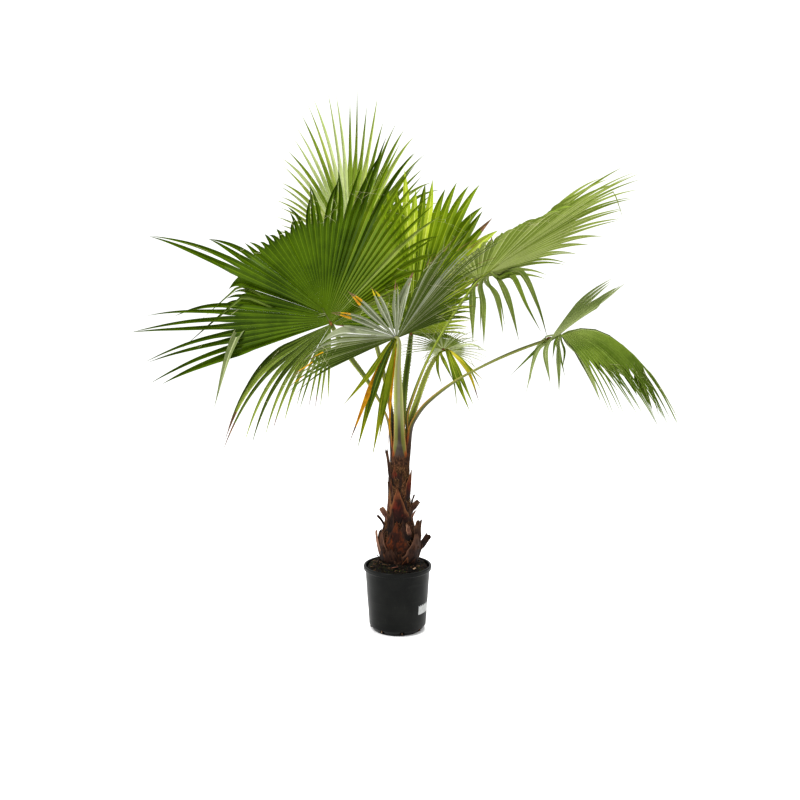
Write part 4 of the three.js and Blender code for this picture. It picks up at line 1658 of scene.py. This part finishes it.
    def _folded(
        self, keel: Array, margins: list[Array], normal: Array, thick: Array, breadth: Array
    ) -> Array:
        """Rings of a thin leaflet that is folded along its keel.

        Args:
            keel: Points of the keel.
            margins: Points of each margin.
            normal: Ways off the upper side.
            thick: Thickness at each point.
            breadth: Half the leaflet's breadth at each point.

        Returns:
            The rings.
        """
        under = -normal * thick[:, None]
        belly = normal * (breadth * self.belly)[:, None]
        quarters = [(margin + keel) / 2 - belly for margin in margins]
        top = [margins[0], quarters[0], keel, quarters[1], margins[1]]
        return np.stack([*top, quarters[1] + under, keel + under * self.keel, quarters[0] + under], 1)

    def _kinked(self, place: Array, normal: Array) -> Rails:
        """A leaflet's course broken over part of the way out, so that its end hangs.

        Args:
            place: Points of the course.
            normal: Ways off its upper side.

        Returns:
            The new places, sides and normals.
        """
        start = self.web_rows + int(self.rng.integers(2, 8))
        steps = np.diff(place, axis=0)
        lean = unit(steps[start]) * self.rng.uniform(0.2, 0.6) - UPWARD
        bent = unit(lean) * np.linalg.norm(steps[start:], axis=1, keepdims=True) * 0.9
        place = np.concatenate([place[: start + 1], place[start] + np.cumsum(bent, axis=0)])
        way = unit(np.gradient(place, axis=0))
        facing = unit(normal + np.array([0.1, -0.6, 0.0]))
        normal = square_to(way, facing)
        return place, np.cross(way, normal), normal

    def _hang(self, leaflet: Loose) -> None:
        """Adds one free leaflet along its own course.

        Args:
            leaflet: Leaflet to hang.
        """
        along, _out, _across = self.frond.axes()
        root = np.array(self.frond.hub, float) + along * self.frond.costa * 0.6
        place = course_through(np.vstack([root, np.array(leaflet.points, float)]), self.loose_rows)
        way = unit(np.gradient(place, axis=0))
        facing = unit(np.array(self.facing) + self.rng.normal(0, 0.25, 3))
        normal = square_to(way, facing)
        side = np.cross(way, normal)
        at = np.linspace(0, 1, self.loose_rows)
        wide = leaflet.width / 2 * np.interp(at, [0, 0.12, 0.42, 1], [0.3, 0.55, 1, 1])
        wide = np.maximum(wide * (1 - np.clip((at - 0.45) / 0.55, 0, 1) ** 1.4), 0.5)
        fold = np.radians(np.interp(at, [0, 0.5, 1], [58, 38, 60]))
        raised = normal * (wide * np.sin(fold))[:, None]
        margins = [place + side * (sign * wide * np.cos(fold) * 1.2)[:, None] + raised for sign in (-1, 1)]
        rings = self._folded(place, margins, normal, np.linspace(1.0, 0.4, self.loose_rows), wide)
        skins = self._greens(self.loose_rows, leaflet.tone)
        if leaflet.dry:
            skins[at[1:] > leaflet.dry_from] = self._number(leaflet.dry)
            if leaflet.dry is not Skin.BROWN:
                skins[at[1:] > self.brown_tip] = self._number(Skin.BROWN)
        self.pile.loft(rings * MM, skins, np.array(self.across), at)

    def _number(self, skin: Skin) -> int:
        """Number of a dry finish among those of the blade."""
        return 2 * len(self.frond.tones) + skin.value

    @staticmethod
    def _greens(count: int, shade: int) -> Array:
        """Finish numbers of a green leaflet by row and column: its upper side and its lower one."""
        return np.full((count - 1, 8), 2 * shade) + (np.arange(8) >= 4)

    def _dress(self, rings: Array, middle: float, at: Array, shade: int) -> None:
        """Adds a leaflet's rings with its finishes, green or dead.

        Args:
            rings: Rings of the leaflet.
            middle: Turn of the leaflet in degrees.
            at: Share of the length that each ring stands at.
            shade: Number of its tone.
        """
        skins = self._greens(len(rings), shade)
        for dead in self.frond.dead:
            if dead.low <= middle <= dead.high and self.rng.random() < dead.chance:
                start = dead.start + self.rng.normal(0, 0.03)
                skins[at[1:] > start] = self._number(dead.skin)
                if dead.skin is not Skin.BROWN:
                    skins[at[1:] > start + (1 - start) * self.brown_share] = self._number(Skin.BROWN)
        self.pile.loft(rings * MM, skins, np.array(self.across), at)

    def _fray(self, rings: Array) -> None:
        """Adds the curling threads that hang from a leaflet's margins.

        Args:
            rings: Rings of the leaflet.
        """
        rng = self.rng
        for _ in range(rng.poisson(self.frond.threads)):
            begin = rings[min(self.web_rows + rng.integers(-1, 7), len(rings) - 2), rng.choice([0, 4])]
            steps = np.linspace(0, 1, 8)[:, None]
            ahead = unit(rings[-1, 2] - rings[self.web_rows, 2])
            drift = unit(ahead + rng.normal(0, 0.5, 3) - UPWARD * 0.25)
            curl = rng.normal(0, 7, 3) * np.sin(steps * math.pi * rng.uniform(1, 2.0))
            course = begin + drift * steps * rng.uniform(*self.hair_long) + curl
            self.hairs.thread(course * MM, rng.uniform(*self.hair_thick) * MM)


@dataclass
class Stalk:
    """The stalk of a frond, from its flared sheath on the trunk to the end of its rib."""

    frond: Frond
    courses: int = 90
    columns: int = 22
    foot_step: float = 45.0
    flatness: float = 0.55
    deepest: float = 12.0
    under_blade: float = 1.8
    past_rib: float = 14.0
    flare_over: float = 80.0
    hug_over: float = 120.0
    tip_share: float = 0.35
    teeth_from: float = 110.0
    teeth_to: float = 0.8
    tooth_step: float = 12.0
    tooth_size: Span = (2.4, 4.4)
    tongue: tuple[Point, ...] = ((-7, 2, 0.6), (-3, 5, 1.8), (3, 6, 2.2), (9, 4, 1.8), (15, 1, 0.8))

    def build(self) -> None:
        """Makes the stalk with its teeth and its tongue, and dresses it."""
        frond, name = self.frond, self.frond.name
        course = course_through(self._knots(), self.courses)
        _along, out, _across = frond.axes()
        run = run_of(course)
        share = run / run[-1]
        way = unit(np.gradient(course, axis=0))
        inward = unit(np.array([TRUNK.offset(course[0, 2]) - course[0, 0], -course[0, 1], 0.0]))
        turned = ease((share - 0.15) / 0.8)[:, None]
        normal = square_to(way, inward * (1 - turned) + out * turned)
        side = np.cross(way, normal)
        width = np.interp(share, np.linspace(0, 1, len(frond.widths)), frond.widths)
        width = width + frond.flare * np.exp(-run / self.flare_over)
        width = width * np.interp(share, [0, 0.9, 1], [1, 1, self.tip_share])
        lateral, height, across = self._section(width, run)
        rings = course[:, None] + side[:, None] * lateral[..., None] + normal[:, None] * height[..., None]
        pile = Pile()
        pile.loft(rings * MM, 0, across, share)
        self._teeth(pile, run, width, (course, side, normal))
        self._tongue(pile)
        skin = dyed(StalkSkin, f"{name}_stalk_skin", *frond.stalk, *frond.brown_to)
        nodes = [f"{name}_stalk_lower", f"{name}_stalk_upper"] if frond.split else [f"{name}_stalk"]
        enlist(pile.build(f"{name}_leaf_stalk", [skin, TOOTH], 60.0), "stalk", *nodes)

    def _knots(self) -> Array:
        """Points that the stalk passes.

        Returns:
            The points, from the trunk's side to the end of the rib.
        """
        frond = self.frond
        along, out, _across = frond.axes()
        depth = min(frond.widths[-1] * self.flatness, self.deepest)
        hub = np.array(frond.hub) - out * (self.under_blade + depth / 2)
        rib_end = np.array(frond.hub) + along * (frond.costa + self.past_rib)
        rib_end = rib_end - out * (self.under_blade + depth / 4)
        turn = math.radians(frond.foot_turn)
        feet = []
        for k, height in enumerate((frond.foot_height, frond.foot_height + self.foot_step)):
            feet.append(TRUNK.beside(turn, TRUNK.radius(height) + frond.foot_gap + k * 1.5, height))
        return np.array([*feet, *frond.points, hub, rib_end], float)

    def _section(self, width: Array, run: Array) -> Rails:
        """Outline of the stalk: channelled on top, and bent round the trunk at its foot.

        Args:
            width: Width of each ring.
            run: Distance of each ring from the foot.

        Returns:
            How far each point lies to the side, how high, and its share across.
        """
        depth = np.minimum(np.minimum(width * self.flatness, self.deepest), 3.5 + run * 0.06)
        angle = 2 * math.pi * np.arange(self.columns) / self.columns
        reach = np.cos(angle)
        rise = np.where(np.sin(angle) > 0, np.sin(angle) * (0.25 + 0.75 * np.abs(reach)), np.sin(angle))
        bow = TRUNK.radius(self.frond.foot_height) + self.frond.foot_gap
        hug = np.exp(-((run / self.hug_over) ** 2))[:, None]
        off = width[:, None] / 2 * reach
        lateral = off * (1 - hug) + bow * np.sin(np.clip(off / bow, -1.5, 1.5)) * hug
        inset = bow * (1 - np.cos(np.clip(off / bow, -1.5, 1.5))) * hug
        return lateral, depth[:, None] / 2 * rise + inset, (1 + reach) / 2

    def _teeth(self, pile: Pile, run: Array, width: Array, rails: Rails) -> None:
        """Adds the small hooked teeth along both margins.

        Args:
            pile: Pile of the stalk.
            run: Distance of each ring from the foot.
            width: Width of each ring.
            rails: Places, sides and normals of the rings.
        """
        rng = np.random.default_rng(SEED + len(self.frond.name))
        spots = np.arange(self.teeth_from, run[-1] * self.teeth_to, self.tooth_step)
        for k in range(2 * len(spots)):
            at, sign = spots[k // 2] + rng.uniform(-4, 4), (-1, 1)[k % 2]
            spot, across, up = (between(at, run, rail) for rail in rails)
            root = spot + across * sign * np.interp(at, run, width) * 0.47
            ahead = np.cross(up, across)
            size = rng.uniform(*self.tooth_size)
            foot = [root - ahead * size * 0.7, root + up * 0.7, root + ahead * size * 0.7, root - up * 0.7]
            tip = root + across * sign * size + ahead * size * 0.8
            pile.loft(np.array([foot, [tip + 0.1 * (corner - root) for corner in foot]]) * MM, 1)

    def _tongue(self, pile: Pile) -> None:
        """Adds the small brown tongue where the stalk meets the upper side of the blade.

        Args:
            pile: Pile of the stalk.
        """
        along, out, across = self.frond.axes()
        hub = np.array(self.frond.hub, float)
        angle = 2 * math.pi * np.arange(10) / 10
        rings = []
        for ahead, wide, high in self.tongue:
            middle = hub + along * ahead + out * 1.5
            ring = middle + across * (wide * np.cos(angle))[:, None]
            rings.append(ring + out * (high * np.sin(angle))[:, None])
        pile.loft(np.array(rings) * MM, 1)


# The highest leaf, upright at the back left, thin and bright, its left half painted paler as if lit from
# behind.
TALL = Frond(
    name="tall", costa=80, hub=(-199, 330, 1488), rib=(-0.05, 0.05, 1), face=(0.6, -0.8, 0.1),
    stations=many(
        Station,
        (-105, 350, 8, 0.3, 0.52, 1.3), (-58, 415, 4, 0.2, 0.52, 1.3), (-26, 590, 0, 0.15, 0.48, 1.05),
        (-10, 690, 0, 0.15, 0.48, 0.9), (5, 720, 2, 0.15, 0.5, 0.9), (26, 660, 4, 0.2, 0.54, 0.95),
        (60, 530, 6, 0.3, 0.5, 0.9), (105, 390, 8, 0.4, 0.45, 0.8),
    ),
    # Painted backlight: the far left lobe takes only the light and pale tones, and the pale tone stays on
    # the left half. The light tone also falls at random on the right.
    lobes=many(Lobe, (-105, -45, 20, (1, 2)), (-45, 0, 11, (2, 1, 0)), (0, 105, 26, (0, 1))),
    widths=(20, 26, 22, 14), points=((-22, 38, 860), (-38, 90, 956), (-95, 210, 1173)),
    tones=(
        tone("tall", (84, 108, 14), (126, 146, 40), (176, 186, 96)),
        tone("tall_light_and_backlit", (132, 150, 54), (172, 184, 98), (204, 210, 150)),
        tone("tall_backlit_pale", (152, 168, 96), (186, 196, 140), (214, 218, 182)),
    ),
    stalk=((104, 96, 82), (122, 134, 58), (160, 168, 92)), sectors=2, foot_turn=140, pleat=30, close=44,
    threads=2.0,
)


# The leaf right behind the middle, upright and yellow green.
BACK = Frond(
    name="back", costa=70, hub=(56, 220, 1197), rib=(0.1, 0.1, 1), face=(-0.1, -1, 0.1),
    stations=many(
        Station,
        (-80, 330, 8, 0.3, 0.6), (-50, 480, 5, 0.2, 0.66, 1.2), (-8, 655, 3, 0.12, 0.7, 1.3),
        (18, 655, 2, 0.12, 0.7, 1.3), (32, 585, 3, 0.15, 0.66, 1.2), (45, 420, 0, 0.3, 0.58),
        (60, 290, 0, 0.3, 0.58), (76, 235, 0, 0.3, 0.58), (98, 210, 0, 0.4, 0.58),
    ),
    lobes=many(Lobe, (-80, 98, 46, (0, 1))),
    widths=(18, 24, 23, 15), points=((20, 45, 880), (33, 100, 1017), (47, 165, 1116)),
    tones=(
        tone("back", (72, 94, 2), (116, 138, 10), (158, 172, 44), root=(50, 74, 1)),
        tone("back_light", (140, 160, 24), (182, 194, 62), (208, 214, 122), root=(84, 108, 4)),
    ),
    stalk=((60, 72, 26), (84, 100, 34), (126, 142, 66)), sectors=2, foot_turn=92, foot_gap=3.5, pleat=30,
    close=36,
    dead=many(Dead, (28, 60, 0.86, Skin.BROWN, 0.4)),
)


# The largest leaf: a broad dark web up and left, long fingers left and hanging ones below.
LEFT = Frond(
    name="left", costa=70, hub=(-255, -120, 1258), rib=(-0.5, 0.12, 0.86), face=(0.1, -1, 0.15),
    stations=many(
        Station,
        (-150, 300, -12, 0.4, 0.32, 1.1), (-120, 370, 0, 0.8, 0.34, 0.9), (-108, 530, 4, 1.2, 0.34, 0.8),
        (-96, 670, 7, 1.6, 0.36, 0.75), (-84, 480, 3, 1.5, 0.36, 0.75), (-80, 600, 1, 0.3, 0.5, 0.9),
        (-75, 680, 1, 0.1, 0.52, 0.95), (-67, 730, 0, 0.1, 0.5, 0.95), (-60, 730, 0, 0.15, 0.5, 0.95),
        (-53, 680, 0, 0.2, 0.52, 0.9), (-49, 430, -4, 0.3, 0.8, 0.8), (-36.5, 440, -4, 0.3, 0.8, 0.8),
        (-35.5, 765, -1, 0.02, 0.5, 1.1), (-28.5, 765, -1, 0.02, 0.5, 1.1), (-27.5, 590, -2, 0.2, 0.64),
        (-21, 590, -2, 0.2, 0.64), (-19, 470, -6, 0.3, 0.8, 0.8), (-12, 450, -8, 0.3, 0.86, 0.9),
        (6, 432, -8, 0.3, 0.88), (14, 500, -5, 0.2, 0.74, 1.1), (25, 585, -2, 0.25, 0.62, 1.1),
        (35, 600, 2, 0.3, 0.6, 1.1), (42, 660, 5, 0.3, 0.58, 1.1), (48, 785, 4, 0.2, 0.54, 1.1),
        (60, 710, 2, 0.2, 0.56, 1.05), (72, 600, 1, 0.2, 0.58), (80, 520, 1, 0.3, 0.6),
        (90, 310, 1, 0.3, 0.6), (130, 230, 0, 0.4, 0.6),
    ),
    lobes=many(
        Lobe,
        (-150, -120, 6, (2, 4)), (-119, -84, 9, (1, 3, 4)), (-79, -50, 8, (0,), 2), (-50, -36, 4, (0,)),
        (-36, -28, 2, (0,), 2), (-28, -20, 2, (0,), 2), (-20, 8, 7, (0,)), (8, 40, 9, (0,), 3),
        (40, 58, 6, (0, 2)), (58, 100, 14, (2, 4, 2)), (100, 130, 6, (0, 2)),
    ),
    widths=(20, 26, 22, 14), points=((-38, -18, 869), (-112, -55, 1022), (-192, -92, 1140)),
    tones=(
        tone("left", (40, 60, 0), (66, 88, 2), (98, 120, 20)),
        tone("left_grey", (52, 70, 12), (84, 100, 34), (130, 142, 78)),
        tone("left_light", (76, 100, 2), (112, 132, 14), (150, 162, 56), root=(50, 74, 1)),
        tone("left_silver", (92, 104, 60), (136, 146, 100), (188, 192, 152)),
        tone("left_lime", (106, 124, 44), (142, 154, 70), (180, 188, 116), root=(58, 82, 4)),
    ),
    stalk=((92, 96, 60), (88, 100, 38), (128, 138, 66)), sectors=4, foot_turn=193, foot_gap=3.0,
    threads=1.4,
    loose=many(
        Loose,
        (((-435, -100, 1325), (-605, -110, 1400), (-630, -125, 1380), (-745, -140, 1280)), 15, 1),
        (((-435, -110, 1305), (-590, -125, 1360), (-630, -140, 1330), (-825, -160, 1165)), 14, 1),
        (((-440, -100, 1262), (-575, -110, 1262), (-628, -190, 1170), (-695, -215, 945)), 44, 3),
    ),
    dead=many(Dead, (-150, -88, 0.9, Skin.BROWN, 0.25)),
)


# The lowest leaf, that leans to the front and shows its silver underside and dead tips.
FRONT = Frond(
    name="front", costa=14, hub=(-1, -300, 1217), rib=(-0.38, -0.87, 0.3), face=(-0.69, 0.48, 0.54),
    stations=many(
        Station,
        (-135, 350, -8, 0.3, 0.5, 0.75), (-114, 380, -2, 0.3, 0.5, 0.7), (-92, 540, -2, 0.3, 0.45, 0.7),
        (-76, 465, 2, 0.3, 0.5, 0.75), (-56, 405, 0, 0.3, 0.56, 0.8), (-51, 410, 0, 0.1, 0.5, 0.9),
        (-45, 315, 0, 0.02, 0.42, 1.3), (-34, 330, 0, 0.02, 0.42, 1.4), (-20, 378, 5, 0.02, 0.42, 1.4),
        (-8, 392, 10, 0.02, 0.44, 1.4), (4, 415, 8, 0.02, 0.44, 1.3), (12, 400, 4, 0.05, 0.5, 0.85),
        (15, 455, 4, 0.3, 0.62, 0.9), (45, 488, 9, 0.3, 0.6, 0.8), (65, 380, 4, 0.3, 0.6, 0.8),
    ),
    lobes=many(
        Lobe,
        (-135, -99, 12, (1, 1, 2)), (-99, -56, 18, (1, 2, 1, 2, 0)), (-50, -40, 2, (0,), 2),
        (-39, -29, 2, (0,), 2), (-25, -15, 2, (0,), 2), (-12, -3, 2, (0,), 2), (-1, 7, 2, (0,), 2),
        (8, 12, 1), (13, 30, 6, (0, 3)), (30, 50, 8, (1, 2)),
    ),
    widths=(34, 36, 36, 30, 18), points=((8, -56, 794), (4, -110, 961), (1, -200, 1096)),
    # fold gives the painted shade on one half of each leaflet's lower side, deeper here than on other
    # leaves.
    tones=(
        tone("front", (84, 102, 34), (114, 128, 60), (200, 204, 184), (138, 146, 112), fold=0.6),
        tone("front_dark", (38, 58, 0), (72, 92, 12), (120, 136, 64), (64, 82, 14), fold=0.6),
        tone("front_mid", (58, 78, 10), (92, 108, 34), (172, 178, 138), (96, 110, 50), fold=0.7),
        tone("front_sage", (66, 84, 20), (100, 114, 42), (176, 182, 142), (98, 110, 58), fold=0.7),
        tone("front_lime", (86, 106, 4), (132, 138, 18), (170, 164, 56), (118, 126, 20)),
    ),
    stalk=((128, 124, 108), (124, 130, 66), (168, 172, 104)), brown_to=(0.07, 0.12, 0.45), sectors=3,
    foot_turn=-95, foot_height=688.0, foot_gap=4.0, flare=52.0, kink=0.0, threads=1.0, blunt=1.25,
    loose=many(
        Loose,
        (((-25, -310, 1205), (-100, -320, 1095), (-200, -320, 970)), 24, 4),
        (((-25, -305, 1200), (-95, -310, 1050), (-180, -305, 825)), 24, 4, Skin.ORANGE, 0.22),
        (((-15, -300, 1195), (-90, -300, 1015), (-150, -295, 800)), 32, 4),
        (((-10, -295, 1195), (-55, -290, 1005), (-95, -285, 765)), 32, 4),
        (((-10, -290, 1195), (-40, -285, 1025), (-70, -280, 835)), 28, 4),
        (((-5, -285, 1190), (-25, -275, 1005), (-35, -270, 780)), 12, 4, Skin.ORANGE, 0.12),
        (((-20, -315, 1195), (-75, -318, 1060), (-120, -310, 900)), 24, 1),
    ),
    dead=many(
        Dead,
        (-50, -29, 0.86, Skin.BROWN), (-25, -15, 0.8, Skin.YELLOW), (-12, 7, 0.77, Skin.ORANGE),
        (8, 12, 0.88, Skin.BROWN), (-100, -56, 0.88, Skin.BROWN, 0.55), (-135, -100, 0.9, Skin.YELLOW, 0.3),
        (14, 47, 0.86, Skin.ORANGE, 0.4),
    ),
)


# The leaf that rises to the right: a long sheaf with free leaflets that hang from its low edge.
UPPER_RIGHT = Frond(
    name="upper_right", costa=90, hub=(317, 20, 1426), rib=(0.8, -0.05, 0.6), face=(-0.55, 0.35, 0.7),
    stations=many(
        Station,
        (-66, 500, -2, 0.3, 0.5, 0.9), (-54, 590, 2, 0.15, 0.48, 0.9), (-30, 660, -3, 0.15, 0.5, 0.95),
        (-8, 715, -1, 0.15, 0.52), (8, 732, -1, 0.15, 0.54, 1.05), (21, 626, 1, 0.15, 0.6),
        (34, 500, -5, 0.3, 0.7), (70, 385, 0, 0.3, 0.7), (108, 300, 5, 0.4, 0.6),
    ),
    lobes=many(Lobe, (-64, -8, 16, (0, 0, 1), 2), (-8, 22, 10, (0, 1)), (22, 108, 18, (0, 1))),
    widths=(22, 28, 24, 15), points=((38, 12, 877), (56, 15, 945), (141, 20, 1150)),
    tones=(
        tone("upper_right", (88, 110, 26), (122, 140, 50), (166, 176, 104), (112, 130, 42)),
        tone("upper_right_light", (116, 134, 50), (150, 162, 88), (190, 196, 140), (138, 154, 68)),
        tone("upper_right_low", (92, 110, 40), (124, 138, 66), (164, 172, 112), (116, 130, 60)),
    ),
    stalk=((110, 114, 56), (92, 110, 22), (132, 146, 56)), sectors=3, foot_turn=15, foot_gap=3.0,
    loose=many(
        Loose,
        (((305, 40, 1405), (300, 60, 1325), (305, 70, 1170)), 31, 2),
        (((330, 50, 1410), (340, 70, 1325), (350, 80, 1160)), 31, 2),
        (((360, 70, 1410), (395, 90, 1350), (430, 100, 1205)), 28, 2),
        (((405, 100, 1425), (445, 130, 1350), (500, 150, 1175)), 32, 2),
        (((400, 90, 1430), (460, 150, 1440), (530, 180, 1315), (595, 190, 1210)), 32, 0),
        (((400, 100, 1435), (500, 180, 1455), (580, 220, 1320), (630, 230, 1180)), 32, 2),
        (((330, 160, 1400), (350, 300, 1330), (360, 380, 1200)), 24, 2),
        (((360, 200, 1410), (430, 340, 1350), (470, 420, 1220)), 24, 2),
    ),
    dead=many(Dead, (40, 108, 0.93, Skin.BROWN, 0.2)),
)


# The leaf on the long arching stalk to the right, limp, its leaflets hanging.
RIGHT = Frond(
    name="right", costa=95, hub=(598, 2, 1194), rib=(0.83, -0.48, 0.29), face=(-0.5, -0.4, 0.77),
    stations=many(
        Station,
        (-64, 400, 2, 0.1, 0.52, 1.2), (-54, 365, 1, 0.1, 0.5, 1.2), (-45, 420, 0, 0.1, 0.52, 1.2),
        (-42, 330, 0, 0.6, 0.6, 1.1), (-36, 330, 2, 2.2, 0.6), (-26, 640, 4, 2.3, 0.62, 0.9),
        (-12, 690, 2, 2.1, 0.56, 0.72), (4, 640, -1, 1.8, 0.52, 0.7), (16, 590, -9, 1.5, 0.48, 0.7),
        (34, 500, -6, 1.1, 0.4, 0.6), (46, 450, -3, 1.1, 0.36, 0.6),
    ),
    lobes=many(Lobe, (-66, -44, 6, (1,), 3), (-38, 44, 28, (0, 0, 1), 2)),
    widths=(28, 28, 24, 21, 13),
    points=(
        (55, -17, 841), (75, -20, 883), (110, -20, 931), (223, -20, 1022), (355, -15, 1094), (484, -8, 1150),
    ),
    tones=(
        tone("right", (70, 92, 14), (104, 124, 38), (154, 166, 96), (106, 124, 48)),
        tone("right_grey", (108, 124, 62), (146, 158, 100), (188, 194, 148), (146, 158, 106)),
    ),
    stalk=((106, 104, 72), (92, 100, 44), (130, 136, 70)), sectors=3, foot_turn=-28, foot_gap=3.5,
    limp=True, split=True, threads=1.0,
    loose=many(
        Loose,
        (((600, 0, 1190), (545, -10, 1145), (450, -20, 1050)), 14, 0),
        (((605, -5, 1185), (555, -20, 1150), (510, -30, 980)), 17, 1),
        (((610, -10, 1190), (585, -30, 1145), (605, -40, 1015)), 22, 1),
        (((625, -20, 1190), (615, -40, 1160), (610, -50, 1115)), 12, 0),
        (((635, -20, 1190), (625, -60, 1120), (635, -70, 990)), 30, 1),
        (((645, -20, 1190), (650, -70, 1145), (645, -80, 1085)), 18, 0),
        (((665, -40, 1175), (705, -120, 1125), (785, -140, 960)), 38, 1),
        (((730, -100, 1140), (795, -180, 1065), (845, -190, 1000)), 16, 0),
        (((750, -120, 1135), (830, -180, 1055), (890, -200, 995)), 16, 0),
        (((780, -140, 1120), (875, -200, 1055), (950, -210, 975)), 16, 1),
        (((590, 60, 1190), (560, 120, 1130), (550, 150, 1010)), 20, 1),
        (((640, 70, 1200), (660, 150, 1150), (700, 190, 1020)), 22, 0),
    ),
)


# The small pale leaf low on the right, with yellow hanging leaflets.
SMALL = Frond(
    name="small", costa=20, hub=(187, 108, 1141), rib=(0.7, -0.3, -0.3), face=(0.1, -0.75, 0.5),
    stations=many(
        Station,
        (-215, 200, 0, 0.2, 0.3, 0.6), (-180, 190, 0, 0.2, 0.3, 0.6), (-160, 175, 0, 0.2, 0.3, 0.6),
        (-130, 140, 0, 0.3, 0.3, 0.6), (-100, 135, 0, 0.3, 0.35, 0.6), (-70, 150, 3, 0.3, 0.4, 0.6),
        (-30, 185, 2, 0.3, 0.35, 0.5), (5, 190, -5, 0.3, 0.3, 0.5), (28, 250, -9, 0.3, 0.3, 0.5),
        (110, 115, 8, 0.3, 0.35, 0.6), (150, 110, 5, 0.3, 0.35, 0.6),
    ),
    lobes=many(Lobe, (-215, 0, 34, (0, 1)), (100, 140, 5, (1,))),
    widths=(22, 26, 21, 13), points=((55, 38, 861), (80, 56, 939), (141, 97, 1085)),
    tones=(
        tone("small", (88, 108, 32), (126, 140, 60), (176, 182, 116), (128, 138, 84)),
        tone("small_pale", (142, 154, 102), (178, 186, 142), (208, 212, 180), (172, 180, 144)),
        tone("small_dark", (88, 108, 14), (128, 142, 32), (172, 176, 78)),
        tone("small_gold", (140, 138, 20), (184, 170, 40), (200, 190, 90)),
    ),
    stalk=((128, 132, 72), (128, 138, 50), (172, 178, 96)), sectors=2, foot_turn=54, kink=0.1, threads=2.5,
    loose=many(
        Loose,
        (((200, 60, 1140), (235, 10, 1035), (290, -5, 900)), 27, 2),
        (((205, 60, 1140), (260, 5, 1025), (305, -5, 925)), 23, 2),
        (((205, 60, 1140), (275, 5, 1065), (325, -10, 945)), 24, 3, Skin.YELLOW, 0.6),
        (((205, 70, 1140), (270, 25, 1090), (345, 10, 1025)), 15, 3),
        (((208, 66, 1140), (278, 16, 1082), (335, 0, 985)), 15, 2),
        (((195, 70, 1135), (220, 20, 1045), (240, 10, 915)), 12, 2),
        (((175, 80, 1130), (195, 40, 1080), (225, 30, 1020)), 18, 2),
        (((170, 90, 1130), (160, 60, 1070), (180, 50, 1000)), 16, 2),
        (((215, 80, 1145), (300, 50, 1165), (365, 40, 1135)), 11, 1),
    ),
)


# ---- Studio --------------------------------------------------------------


@dataclass
class Studio:
    """Plain pale floor, soft light all round and a camera a little above the plant's middle.

    A lamp has a name, a place and an aim in metres, a size and a power.
    """

    eye: Point = (10.0, -3970.0, 1477.0)
    dip: float = 7.6
    lens: float = 45.0
    floor_half: float = 90.0
    ambient: float = 1.0
    look: str = "Medium High Contrast"
    sensor: float = 36.0
    lamps: tuple[tuple[str, Point, Point, float, float], ...] = (
        ("key_lamp", (-2.2, -2.2, 4.4), (0.0, 0.0, 1.1), 1.2, 150.0),
        ("top_lamp", (0.8, 1.6, 4.6), (0.0, 0.0, 1.2), 1.4, 120.0),
    )
    finish: Finish = StudioFloor("studio_floor")

    def build(self) -> None:
        """Makes floor, lights and camera."""
        self._floor()
        self._light()
        data = bpy.data.cameras.new("camera")
        data.lens = self.lens
        data.sensor_width = self.sensor
        data.clip_end = 300.0
        camera = bpy.data.objects.new("camera", data)
        camera.location = Vector(self.eye) * MM
        camera.rotation_euler = (math.radians(90.0 - self.dip), 0.0, 0.0)
        bpy.context.scene.collection.objects.link(camera)
        bpy.context.scene.camera = camera
        LOG.info("camera: %.0f mm lens", self.lens)

    def _floor(self) -> None:
        """Lays the floor."""
        Bench.clear()
        bpy.ops.mesh.primitive_circle_add(vertices=64, radius=self.floor_half, fill_type="NGON")
        floor = bpy.context.object
        floor.name = "studio_floor"
        floor.data.materials.append(self.finish.material())

    def _light(self) -> None:
        """Sets the soft surroundings and the large lamps."""
        scene = bpy.context.scene
        scene.world = bpy.data.worlds.new("studio_air")
        scene.world.use_nodes = True
        air = scene.world.node_tree.nodes["Background"]
        air.inputs["Color"].default_value = (1.0, 1.0, 1.0, 1.0)
        air.inputs["Strength"].default_value = self.ambient
        scene.view_settings.view_transform = "Standard"
        scene.view_settings.look = self.look
        for name, place, aim, size, power in self.lamps:
            data = bpy.data.lights.new(name, "AREA")
            data.size = size
            data.energy = power
            lamp = bpy.data.objects.new(name, data)
            lamp.location = place
            lamp.rotation_euler = (Vector(aim) - Vector(place)).to_track_quat("-Z", "Y").to_euler()
            scene.collection.objects.link(lamp)


def corners(box: tuple[Vector, Vector]) -> list[list[float]]:
    """A box's two corners as plain lists."""
    return [[float(part) for part in corner] for corner in box]


def main() -> None:
    """Builds the plant, its pot and the studio, in order."""
    logging.basicConfig(level=logging.INFO, format="%(name)s: %(message)s")
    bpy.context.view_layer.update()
    Pot().build()
    Soil().build()
    TRUNK.build()
    LeafBases(TRUNK).build()
    for frond in (TALL, BACK, LEFT, FRONT, UPPER_RIGHT, RIGHT, SMALL):
        frond.build()
    Studio().build()
    LOG.info("all pieces are built")


if __name__ == "__main__":
    main()
